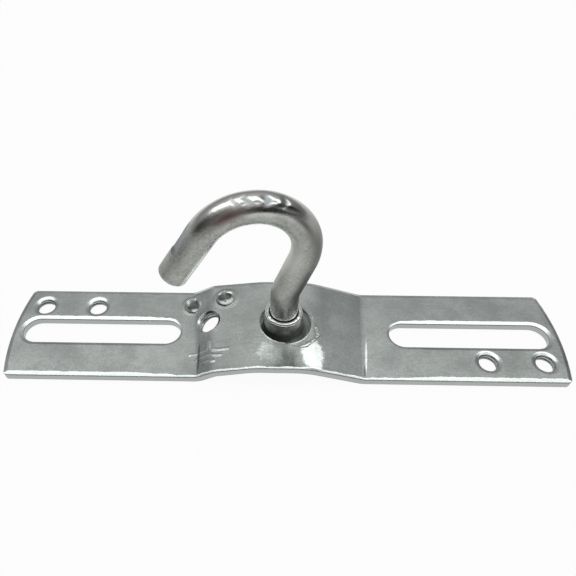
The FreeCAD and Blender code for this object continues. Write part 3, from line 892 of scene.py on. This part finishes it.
    def hollow(self, at: RodPlaces) -> np.ndarray:
        """Depth taken off the rod: waves of a hundredth of a millimetre, and the dents.

        Args:
            at: Places on the rod.

        Returns:
            Depth in millimetres.
        """
        waves = np.sin(1.1 * at.along + 2.0 * np.cos(at.angle)) * np.cos(2 * at.angle + 0.4 * at.along)
        return self.inset + self.wave * waves + self.pressed(at)

    def flat_radius(self, at: RodPlaces) -> np.ndarray:
        """Ring radius under the ground flat: a plane beside the straight tail that deepens towards the tip.

        Args:
            at: Places on the rod.

        Returns:
            Largest radius that the plane leaves, or a large number beside it.
        """
        end = self.runs()[-1] - self.flat_start
        upper = end - self.flat_length
        lower = end - self.flat_wave * np.cos(3 * at.angle)
        taken = self.flat_depth * smooth_step(at.along, upper, upper + self.flat_ramp * self.flat_length)
        taken = taken * smooth_step(at.along, lower + self.flat_fade[0], lower + self.flat_fade[1])
        facing = np.cos(at.angle - self.flat_turn)
        plane = (self.radius - taken) / np.maximum(facing, self.flat_facing)
        return np.where((facing > self.flat_facing) & (taken > 0), plane, 10 * self.radius)

    def wear(self, at: RodPlaces) -> dict[str, np.ndarray]:
        """Masks of the worn, stained and painted-light parts, the ground flat, and the painted shade on the
        dents' floors.

        Args:
            at: Places on the rod.

        Returns:
            Arrays from 0 to 1, by attribute name.
        """
        masks = self.worn.masks(at)
        masks["ground"] = (self.flat_radius(at) < self.radius).astype(float)
        # Painted shade on the dents' floors, growing with their depth.
        masks["painted_dent_shade"] = np.clip(self.dent_shade_gain * self.pressed(at, True), 0.0, 1.0)
        return masks

    def build(self) -> bpy.types.Object:
        """Carries the ring along the centre line and stands for the CAD rod.

        Returns:
            The rod.
        """
        distance, ring = self.stations()
        points, heading = self.centre_line(distance)
        along = np.array([math.cos(self.turn), math.sin(self.turn), 0.0])
        front = np.array([math.sin(self.turn), -math.cos(self.turn), 0.0])
        up = np.array([0.0, 0.0, 1.0])
        outer = np.cos(heading)[:, None] * along - np.sin(heading)[:, None] * up
        centre = np.array([self.axis(), 0.0, 0.0]) + points[:, :1] * along + points[:, 1:] * up
        angle = full_turn(self.columns)
        far = np.broadcast_to(distance[:, None], (len(distance), self.columns))
        at = RodPlaces(far, self.runs()[-1] - far, angle, self.radius)
        on_bar = smooth_step(far, 0.0, 0.6) * (ring / self.radius).clip(0.0, 1.0)[:, None]
        radius = np.minimum(ring[:, None], self.flat_radius(at)) - on_bar * self.hollow(at)
        radius = np.where(ring[:, None] > 0, radius, 0.0)
        skin = centre[:, None] + radius[..., None] * (
            np.cos(angle)[..., None] * outer[:, None] + np.sin(angle)[..., None] * front
        )
        masks = {name: [mask] for name, mask in self.wear(at).items()}
        return Piece("bent_hook", Slot.ROD, ROD_PLATE).build([skin], masks, replaces="hook_rod")


@dataclass
class Sleeve:
    """Flanged sleeve with a rolled rim and a hollow root, which stands for the CAD sleeve."""

    bore: float = 2.5
    barrel: float = 3.5
    rim: float = 3.2
    rim_round: float = 0.42
    rim_drop: float = 0.055
    lip_round: float = 0.14
    flange: float = 5.2
    flange_gauge: float = 1.0
    flange_bevel: float = 0.12
    barrel_top: float = 4.55
    root: float = 4.3
    bright_below: Pair = (0.75, 0.5)
    bright_radius: Pair = (2.4, 2.6)
    # Heights from the barrel's top over which the painted shade on the lower part fades in.
    shade_above: Pair = (0.4, -0.6)
    columns: int = 160

    def profile(self) -> np.ndarray:
        """Closed section from the bore's foot outwards, up the barrel, over the rolled rim and down the bore.

        Returns:
            Pairs of radius and height.
        """
        low, high = (corner.z * PER_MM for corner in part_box("flanged_sleeve"))
        seat = low + self.flange_gauge
        inside = self.flange - self.flange_bevel
        outside = [
            (self.bore, low), (inside, low), (self.flange, low + self.flange_bevel),
            (self.flange, seat - self.flange_bevel), (inside, seat),
        ]
        bend = np.linspace(0.0, math.pi / 2, 14)
        hollow_root = np.stack([
            self.root - (self.root - self.barrel) * np.sin(bend),
            self.barrel_top - (self.barrel_top - seat) * np.cos(bend),
        ], axis=-1)
        wall = np.linspace(0.0, 1.0, 24)[1:, None]
        top = np.array([self.rim, high - self.rim_round])
        barrel = hollow_root[-1] * (1 - wall) + top * wall
        swing = np.linspace(0.0, math.pi / 2, 8)[1:]
        outer = np.array([self.rim - self.rim_round, high - self.rim_round])
        outer = outer + self.rim_round * np.stack([np.cos(swing), np.sin(swing)], axis=-1)
        inner = np.array([self.bore + self.lip_round, high - self.lip_round])
        inner = inner - self.lip_round * np.stack([np.sin(swing), -np.cos(swing)], axis=-1)
        return np.concatenate([np.array(outside), hollow_root, barrel, outer, inner, [(self.bore, low)]])

    def build(self) -> bpy.types.Object:
        """Turns the section about the rod's axis, with a rim that is a little uneven and painted shade over
        its lower part.

        Returns:
            The sleeve.
        """
        low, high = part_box("flanged_sleeve")
        axis, peak = (low.x + high.x) / 2 * PER_MM, high.z * PER_MM
        section = self.profile()
        angle = full_turn(self.columns)
        radius = section[:, :1] + np.zeros_like(angle)
        uneven = 0.03 * np.sin(3 * angle + 0.7) + 0.015 * np.sin(11 * angle) + 0.01 * np.sin(23 * angle)
        upper = smooth_step(section[:, 1:], self.barrel_top, peak)
        height = section[:, 1:] + upper * (uneven - self.rim_drop)
        skin = np.stack([axis + radius * np.cos(angle), radius * np.sin(angle), height], axis=-1)
        rim = smooth_step(height, *(peak - below for below in self.bright_below))
        rim = rim * smooth_step(radius, *self.bright_radius)
        # Painted shade: darker colour over the lower part of the sleeve, round the hole in the strap.
        root = smooth_step(height, *(self.barrel_top + above for above in self.shade_above))
        piece = Piece("rolled_sleeve", Slot.SLEEVE, SLEEVE_PLATE)
        return piece.build([skin], {"rim": [rim], "root": [root]}, replaces="flanged_sleeve")


@dataclass
class Arch:
    """Upper side of the strap's arch, from its bends along the back and the front edge."""

    width: float = 19.05
    gauge: float = 1.5
    reaches_back: tuple[float, ...] = (-17.6, -16.5, -12.8, -4.0, 4.2, 14.3, 15.4)
    reaches_front: tuple[float, ...] = (-17.6, -14.5, -11.7, -5.5, 3.2, 12.7, 15.4)
    rises_back: tuple[float, ...] = (0.0, 0.0, 2.05, 3.25, 3.25, 0.0, 0.0)
    rises_front: tuple[float, ...] = (0.0, 0.0, 1.6, 2.85, 2.85, 0.0, 0.0)
    radii: tuple[float, ...] = (2.0, 3.5, 15.5, 15.5, 2.0)
    least: float = 1e-9

    def upper_line(self, reaches: Sequence[float], rises: Sequence[float]) -> tuple[np.ndarray, np.ndarray]:
        """Corners of one edge's line moved up square to it by the sheet's thickness.

        Args:
            reaches: X of the underside's corners.
            rises: Z of the underside's corners.

        Returns:
            X of the inner corners of the upper line, and the slope of each run.
        """
        x, z = np.array(reaches), np.array(rises)
        slope = np.diff(z) / np.diff(x)
        lift = self.gauge * np.hypot(1.0, slope)
        bend = slope[:-1] - slope[1:]
        return x[1:-1] + np.diff(lift) / bend, slope

    def height(self, x: np.ndarray, y: np.ndarray) -> np.ndarray:
        """Height of the upper side: runs of even slope, with a parabola over each bend's tangent length.

        Args:
            x: Places along the strap.
            y: Places across it.

        Returns:
            Heights, in millimetres.
        """
        share = np.asarray(y) / self.width + 0.5
        back, slope_back = self.upper_line(self.reaches_back, self.rises_back)
        front, slope_front = self.upper_line(self.reaches_front, self.rises_front)
        level = np.full(np.broadcast(x, y).shape, self.gauge)
        for index, radius in enumerate(self.radii):
            corner = front[index] + (back[index] - front[index]) * share
            before = slope_front[index] + (slope_back[index] - slope_front[index]) * share
            after = slope_front[index + 1] + (slope_back[index + 1] - slope_front[index + 1]) * share
            reach = radius * np.abs(np.tan((np.arctan(after) - np.arctan(before)) / 2))
            past = x - corner
            bend = (past + reach) ** 2 / (4 * reach + self.least)
            eased = np.where(np.abs(past) < reach, bend, np.maximum(past, 0.0))
            level = level + (after - before) * eased
        return level


@dataclass
class EarthSign:
    """Earth sign raised on the strap across the left step: a stem over three bars that get shorter."""

    centre: Pair = (-13.1, -5.5)
    half_size: Pair = (4.2, 2.9)
    bars: tuple[Pair, ...] = ((0.3, 3.2), (-0.8, 2.1), (-1.9, 1.0))
    stem_top: float = 2.2
    stroke: float = 0.30
    height: float = 0.17
    sink: float = 0.05
    belly: float = 0.4
    gap: float = 0.05

    def strokes(self) -> list[tuple[np.ndarray, np.ndarray]]:
        """Ends of the stem and of the bars.

        Returns:
            Pairs of points from the sign's centre.
        """
        ends = [((0.0, self.bars[0][0]), (0.0, self.stem_top))]
        ends += [((-half, level), (half, level)) for level, half in self.bars]
        return [(np.array(start), np.array(end)) for start, end in ends]

    def relief(self, x: np.ndarray, y: np.ndarray) -> np.ndarray:
        """Height over the strap: a bell-shaped ridge along each stroke, sunk just under the sheet elsewhere.

        Args:
            x: Places from the sign's centre along the strap.
            y: Places from the sign's centre across it.

        Returns:
            Heights in millimetres; a slow wave makes the strokes uneven.
        """
        near = np.full(x.shape, np.inf)
        for start, end in self.strokes():
            way = end - start
            share = np.clip(((x - start[0]) * way[0] + (y - start[1]) * way[1]) / (way @ way), 0.0, 1.0)
            near = np.minimum(near, np.hypot(x - start[0] - share * way[0], y - start[1] - share * way[1]))
        force = 1.0 - 0.03 * x + 0.15 * np.sin(2.1 * x + 1.3 * y)
        return self.height * force * np.exp(-((near / self.stroke) ** 2)) - self.sink

    def build(self, arch: Arch) -> bpy.types.Object:
        """Lays the sign on the strap's upper side, with a belly sunk in the sheet.

        Args:
            arch: The strap's upper side.

        Returns:
            The sign.
        """
        across = [np.arange(-half, half + self.gap / 2, self.gap) for half in self.half_size]
        x, y = np.meshgrid(*across, indexing="ij")
        border = np.maximum(np.abs(x) / self.half_size[0], np.abs(y) / self.half_size[1])
        at_x, at_y = x + self.centre[0], y + self.centre[1]
        top = arch.height(at_x, at_y) + self.relief(x, y)
        layers = closed_pad(at_x, at_y, top, border, self.belly)
        return Piece("earth_sign", Slot.STRAP, STRAP_PLATE).build(layers, wrap=False)


@dataclass
class PunchMark:
    """Round punch mark with a lip, a steep flank, a ball-shaped bottom, dark spots of painted shade with some
    grime, and white spots of painted highlight.

    A spot is its place from the mark's middle, to the right and to the back, and its radius.
    """

    name: str
    centre: Pair
    # Dark spots, mostly on the far flank and in the middle, are painted shade with some grime; white spots on
    # the near flank are a painted highlight.
    shade_and_dirt: tuple[Place, ...]
    painted_highlight: tuple[Place, ...]
    spot_core: float = 0.4
    spot_end: float = 0.12
    lip_radius: float = 1.75
    lip: float = 0.12
    lip_front: float = 0.35
    lip_width: float = 0.58
    bowl_radius: float = 1.36
    steepness: Pair = (0.62, 0.20)
    ball: float = 2.543
    depth: float = 0.40
    border: float = 2.85
    sink: float = 0.03
    belly: float = 0.3
    rings: int = 100
    columns: int = 96

    def relief(self, reach: np.ndarray, turn: np.ndarray, drop: np.ndarray) -> np.ndarray:
        """Height over the strap: a bell-shaped lip, a bevel inside it, then the higher of a cone and a ball.

        Args:
            reach: Distance from the mark's middle.
            turn: Angle round it; the lip is higher and the cone steeper at the back than in front.
            drop: How far the strap lies below the mark's middle, from which the ball is measured.

        Returns:
            Heights in millimetres; the border lies just under the sheet.
        """
        lip = self.lip * (self.lip_front + (1 - self.lip_front) * (0.5 + 0.5 * np.sin(turn)))
        bevel = lip * (reach - self.bowl_radius) / (self.lip_radius - self.bowl_radius)
        fall = (self.bowl_radius - reach) * (self.steepness[0] + self.steepness[1] * np.sin(turn))
        cone = np.where(reach < self.bowl_radius, -fall, bevel)
        ball = drop + self.ball - self.depth - np.sqrt(np.maximum(self.ball**2 - reach**2, 0.0))
        outside = lip * np.exp(-(((reach - self.lip_radius) / self.lip_width) ** 2))
        outside = outside - self.sink * smooth_step(reach, self.lip_radius, self.border)
        return np.where(reach < self.lip_radius, np.maximum(cone, ball), outside)

    def build(self, arch: Arch) -> bpy.types.Object:
        """Lays the mark on the strap's upper side, closed by a belly sunk in the sheet.

        Args:
            arch: The strap's upper side.

        Returns:
            The mark.
        """
        turn = full_turn(self.columns)
        reach = np.linspace(0.0, self.border, self.rings)[:, None]
        across, along = reach * np.cos(turn), reach * np.sin(turn)
        x, y = self.centre[0] + across, self.centre[1] + along
        sheet = arch.height(x, y)
        top = sheet + self.relief(reach, turn, sheet[:1, :1] - sheet)
        layers = closed_pad(x, y, top, reach / self.border, self.belly)
        bowl = smooth_step(reach, self.bowl_radius + self.spot_end, self.bowl_radius)
        masks = {}
        # Masks of the painted highlight and of the painted shade with some grime, kept inside the bowl.
        for zone, spots in (("painted_highlight", self.painted_highlight), ("shade_and_dirt", self.shade_and_dirt)):
            marks = [
                smooth_step(np.hypot(across - right, along - back), wide, self.spot_core * wide)
                for right, back, wide in spots
            ]
            mask = np.max(marks, axis=0) * bowl
            masks[zone] = [mask, np.zeros_like(mask)]
        return Piece(self.name, Slot.STRAP, STRAP_PLATE).build(layers, masks)


# Each mark's spots of painted shade with some grime, and of painted highlight.
PUNCH_MARKS = (
    PunchMark(
        "punch_mark_left", (-16.64, 5.9),
        shade_and_dirt=((-0.1, 0.5, 1.25), (-0.75, -0.2, 0.7), (0.0, 0.0, 0.5)),
        painted_highlight=((0.25, -0.95, 0.75),),
    ),
    PunchMark(
        "punch_mark_right", (-10.64, 5.88),
        shade_and_dirt=((-0.8, 0.5, 1.25), (0.3, 0.85, 1.1), (-0.1, -0.3, 0.28)),
        painted_highlight=((-0.3, -0.8, 1.2), (0.6, -0.35, 1.1)),
    ),
)


@dataclass
class Thread:
    """Cut thread inside a tapped hole: a helical ridge that stands in from the bore."""

    name: str
    centre: Place
    bore: float
    pitch: float
    length: float
    lean: float = 0.0
    height: float = 0.24
    sink: float = 0.12
    clearance: float = 0.02
    flank: Pair = (0.08, 0.86)
    end_fade: float = 0.12
    rows_per_turn: int = 22
    least_rows: int = 12
    columns: int = 96

    def build(self) -> bpy.types.Object:
        """Closed ring whose inner radius falls by a rounded triangle of height over pitch less turn.

        Returns:
            The thread.
        """
        angle = full_turn(self.columns)
        rows = max(self.least_rows, int(self.length / self.pitch * self.rows_per_turn))
        level = np.linspace(0.0, self.length, rows)[:, None]
        phase = level / self.pitch - angle / (2 * math.pi)
        ridge = self.height * smooth_step(np.abs(2 * (phase - np.floor(phase)) - 1), *self.flank)
        fade = smooth_step(level, 0.0, self.end_fade)
        fade = fade * smooth_step(level, self.length, self.length - self.end_fade)
        inner = self.bore + self.clearance - ridge * fade
        outer = np.full_like(inner, self.bore + self.sink)
        rings = np.concatenate([inner, outer[::-1], inner[:1]])
        levels = np.concatenate([level, level[::-1], level[:1]])
        flat = np.stack([rings * np.cos(angle), rings * np.sin(angle), levels + 0 * angle], axis=-1)
        cosine, sine = math.cos(self.lean), math.sin(self.lean)
        tilt = np.array([[cosine, 0.0, -sine], [0.0, 1.0, 0.0], [sine, 0.0, cosine]])
        return Piece(self.name, Slot.STRAP, STRAP_PLATE).build([flat @ tilt.T + np.array(self.centre)])


@dataclass
class StrapFittings:
    """The strap's own finish, and the threads of its tapped holes."""

    outer_spacing: float = 88.9
    inner_spacing: float = 69.85
    offset: float = 5.65
    foot: float = 0.05
    bore: float = 1.725
    pitch: float = 0.794
    depth: float = 1.2
    earth_bore: float = 1.95
    earth_foot: Place = (-12.95, 1.3, 1.45)
    earth_depth: float = 1.1
    earth_lean: float = math.radians(29.3)
    earth_height: float = 0.15

    def dress(self) -> bpy.types.Object:
        """Gives the CAD strap its plate.

        Returns:
            The strap.
        """
        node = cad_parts["mounting_strap"]
        node.data.materials.clear()
        node.data.materials.append(STRAP_PLATE.material())
        return node

    def threads(self) -> list[bpy.types.Object]:
        """Threads of the two diagonal pairs and of the earth hole.

        Returns:
            The threads; a pair's holes lie half its spacing from the middle and off the middle line.
        """
        threads = []
        for word, spacing in (("outer", self.outer_spacing), ("inner", self.inner_spacing)):
            reach = math.sqrt((spacing / 2) ** 2 - self.offset**2)
            for side, way in (("left", -1), ("right", 1)):
                centre = (way * reach, -way * self.offset, self.foot)
                threads.append(Thread(f"thread_{side}_{word}", centre, self.bore, self.pitch, self.depth))
        threads.append(Thread(
            "thread_earth", self.earth_foot, self.earth_bore, self.pitch, self.earth_depth,
            lean=self.earth_lean, height=self.earth_height,
        ))
        return [thread.build() for thread in threads]


@dataclass
class StakeBurr:
    """Sliver of metal that the staking punch threw up round the front right of the middle hole."""

    centre: Pair = (1.6, -1.3)
    radius: float = 3.85
    start: float = math.radians(-84.0)
    end: float = math.radians(22.0)
    thickness: float = 0.62
    flatness: float = 0.42
    sink: float = 0.03
    rows: int = 120
    columns: int = 24

    def build(self, arch: Arch) -> bpy.types.Object:
        """Ragged round ridge along an arc: its thickness swells and pinches, and both ends close to a point.

        Args:
            arch: The strap's upper side.

        Returns:
            The burr.
        """
        share = np.linspace(0.0, 1.0, self.rows)
        turn = self.start + (self.end - self.start) * share
        ragged = 0.72 + 0.20 * np.sin(9.0 * share + 0.6)
        ragged = ragged + 0.07 * np.sin(31.0 * share) + 0.03 * np.sin(67.0 * share)
        thick = self.thickness * ragged * np.sin(math.pi * share) ** 0.5
        reach = self.radius + 0.10 * np.sin(13.0 * share) + 0.04 * np.sin(41.0 * share)
        x, y = self.centre[0] + reach * np.cos(turn), self.centre[1] + reach * np.sin(turn)
        z = arch.height(x, y) - self.sink
        round_angle = full_turn(self.columns)
        outward = np.stack([np.cos(turn), np.sin(turn), 0 * turn], axis=-1)[:, None]
        up = np.array([0.0, 0.0, self.flatness])
        ring = np.cos(round_angle)[..., None] * outward + np.sin(round_angle)[..., None] * up
        skin = np.stack([x, y, z], axis=-1)[:, None] + thick[:, None, None] * ring
        return Piece("stake_burr", Slot.STRAP, STRAP_PLATE).build([skin])


@dataclass(frozen=True)
class Fade:
    """Change of the room's light by a share, between two values of one part of a direction."""

    start: float
    end: float
    share: float

    def of(self, part: Value) -> Value:
        """The change at a value of the part."""
        return part.step(self.start, self.end) * self.share


@dataclass
class Studio:
    """Pale floor, soft overhead light and the photograph's camera."""

    focal_px: float = 545.973
    axis_px: Pair = (250.745, 295.174)
    elevation: float = math.radians(47.647)
    azimuth: float = math.radians(1.159)
    roll: float = math.radians(-0.108)
    target: Place = (-6.214, 10.282, 0.0)
    distance: float = 105.013
    sensor: float = 36.0
    clip: Pair = (0.005, 20.0)
    floor_half: float = 3.0
    floor_drop: float = 0.02
    floor_matt: float = 0.9
    floor_white: float = 0.94
    floor_far: float = 0.42
    floor_reach: Pair = (50.0, 200.0)
    room: float = 0.28
    ceiling: Fade = Fade(0.3, 1.05, 0.36)
    right_near: Fade = Fade(0.15, 0.6, 0.10)
    right_far: Fade = Fade(0.6, 0.95, 0.4)
    horizon: Fade = Fade(0.02, 0.16, 0.5)
    front: Fade = Fade(-0.1, 0.45, 0.93)
    front_height: Pair = (0.45, 0.85)
    lamp_place: Place = (0.0, 0.045, 0.42)
    lamp_aim: Place = (0.0, 0.0, 0.01)
    lamp_size: Pair = (0.9, 0.22)
    lamp_power: float = 0.95

    def camera(self) -> None:
        """Camera at the photograph's place."""
        data = bpy.data.cameras.new("photo_camera")
        data.sensor_width = self.sensor
        data.lens = self.focal_px / IMAGE_SIDE * self.sensor
        data.shift_x = (IMAGE_SIDE / 2 - self.axis_px[0]) / IMAGE_SIDE
        data.shift_y = (self.axis_px[1] - IMAGE_SIDE / 2) / IMAGE_SIDE
        data.clip_start, data.clip_end = self.clip
        flat, rise = math.cos(self.elevation), math.sin(self.elevation)
        back = Vector((math.sin(self.azimuth) * flat, -math.cos(self.azimuth) * flat, rise))
        right = Vector((math.cos(self.azimuth), math.sin(self.azimuth), 0.0))
        up = back.cross(right)
        cosine, sine = math.cos(self.roll), math.sin(self.roll)
        turned = Matrix((right * cosine + up * sine, up * cosine - right * sine, back)).transposed()
        made = bpy.data.objects.new("photo_camera", data)
        place = (Vector(self.target) + back * self.distance) * MM
        made.matrix_world = Matrix.Translation(place) @ turned.to_4x4()
        bpy.context.scene.collection.objects.link(made)
        bpy.context.scene.camera = made

    def glow_share(self, graph: Graph) -> Value:
        """Share of plain white in the floor: full for the camera, and fading outwards where metal shows it.

        Args:
            graph: The floor's nodes.

        Returns:
            The share, from 0 to 1.
        """
        camera, glossy, through = (
            graph.node("ShaderNodeLightPath", output=f"Is {ray} Ray")
            for ray in ("Camera", "Glossy", "Transmission")
        )
        reach = graph.node("ShaderNodeVectorMath", {"operation": "LENGTH"}, {0: graph.place}, "Value")
        fade = self.floor_white - reach.step(*self.floor_reach) * (self.floor_white - self.floor_far)
        return camera * self.floor_white + glossy.at_least(through) * (1.0 - camera) * fade

    def floor(self) -> None:
        """Wide floor just under the part, almost white where it is seen, with the part's shadow on it."""
        material = bpy.data.materials.new("pale_floor")
        material.use_nodes = True
        graph = Graph(material.node_tree)
        matt = graph.node("ShaderNodeBsdfDiffuse", None, {"Color": (*[self.floor_matt] * 3, 1.0)})
        glow = graph.node("ShaderNodeEmission", None, {"Color": WHITE, "Strength": 1.0})
        surface = graph.node("ShaderNodeMixShader", None, {0: self.glow_share(graph), 1: matt, 2: glow})
        graph.node("ShaderNodeOutputMaterial", None, {"Surface": surface})
        half = self.floor_half
        mesh = bpy.data.meshes.new("floor")
        corners = [(-half, -half, 0.0), (half, -half, 0.0), (half, half, 0.0), (-half, half, 0.0)]
        mesh.from_pydata(corners, [], [(0, 1, 2, 3)])
        mesh.materials.append(material)
        made = bpy.data.objects.new("floor", mesh)
        made.location.z = -self.floor_drop * MM
        bpy.context.scene.collection.objects.link(made)

    def world(self) -> None:
        """Room light: white to the camera, grey behind the part, and dim behind the photographer."""
        world = bpy.data.worlds.new("studio_room")
        world.use_nodes = True
        bpy.context.scene.world = world
        graph = Graph(world.node_tree)
        x, y, z = graph.split(graph.node("ShaderNodeTexCoord", output="Generated"), "XYZ")
        upper = self.ceiling.of(z) + self.room
        right = 1.0 - self.right_near.of(x) - self.right_far.of(x)
        horizon = self.horizon.share - self.horizon.of(z)
        front = self.front.of(0.0 - y) * (1.0 - z.step(*self.front_height))
        level = (upper * right + horizon) * (1.0 - front)
        camera = graph.node("ShaderNodeLightPath", output="Is Camera Ray")
        strength = level * (1.0 - camera) + camera
        glow = graph.node("ShaderNodeBackground", None, {"Color": WHITE, "Strength": strength})
        graph.node("ShaderNodeOutputWorld", None, {"Surface": glow})

    def lamp(self) -> None:
        """Rectangular soft lamp overhead that faces the part."""
        data = bpy.data.lights.new("overhead", "AREA")
        data.shape = "RECTANGLE"
        data.size, data.size_y = self.lamp_size
        data.energy = self.lamp_power
        made = bpy.data.objects.new("overhead", data)
        made.location = self.lamp_place
        made.rotation_mode = "QUATERNION"
        away = Vector(self.lamp_place) - Vector(self.lamp_aim)
        made.rotation_quaternion = away.to_track_quat("Z", "Y")
        bpy.context.scene.collection.objects.link(made)

    def build(self) -> None:
        """Sets up camera, floor, room and lamp."""
        bpy.context.scene.view_settings.view_transform = "Standard"
        self.camera()
        self.floor()
        self.world()
        self.lamp()


def main() -> None:
    """Builds the pieces in order and reports each one, then builds the studio."""
    logging.basicConfig(level=logging.INFO, format="%(name)s: %(message)s")
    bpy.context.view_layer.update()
    arch = Arch()
    strap = StrapFittings()
    pieces = [strap.dress(), *strap.threads(), HookRod().build(), Sleeve().build()]
    pieces += [mark.build(arch) for mark in (EarthSign(), StakeBurr(), *PUNCH_MARKS)]
    for piece in pieces:
        LOG.info("%s: %d faces", piece.name, len(piece.data.polygons))
    Studio().build()
    LOG.info("studio: camera, floor, room and lamp")


if __name__ == "__main__":
    main()
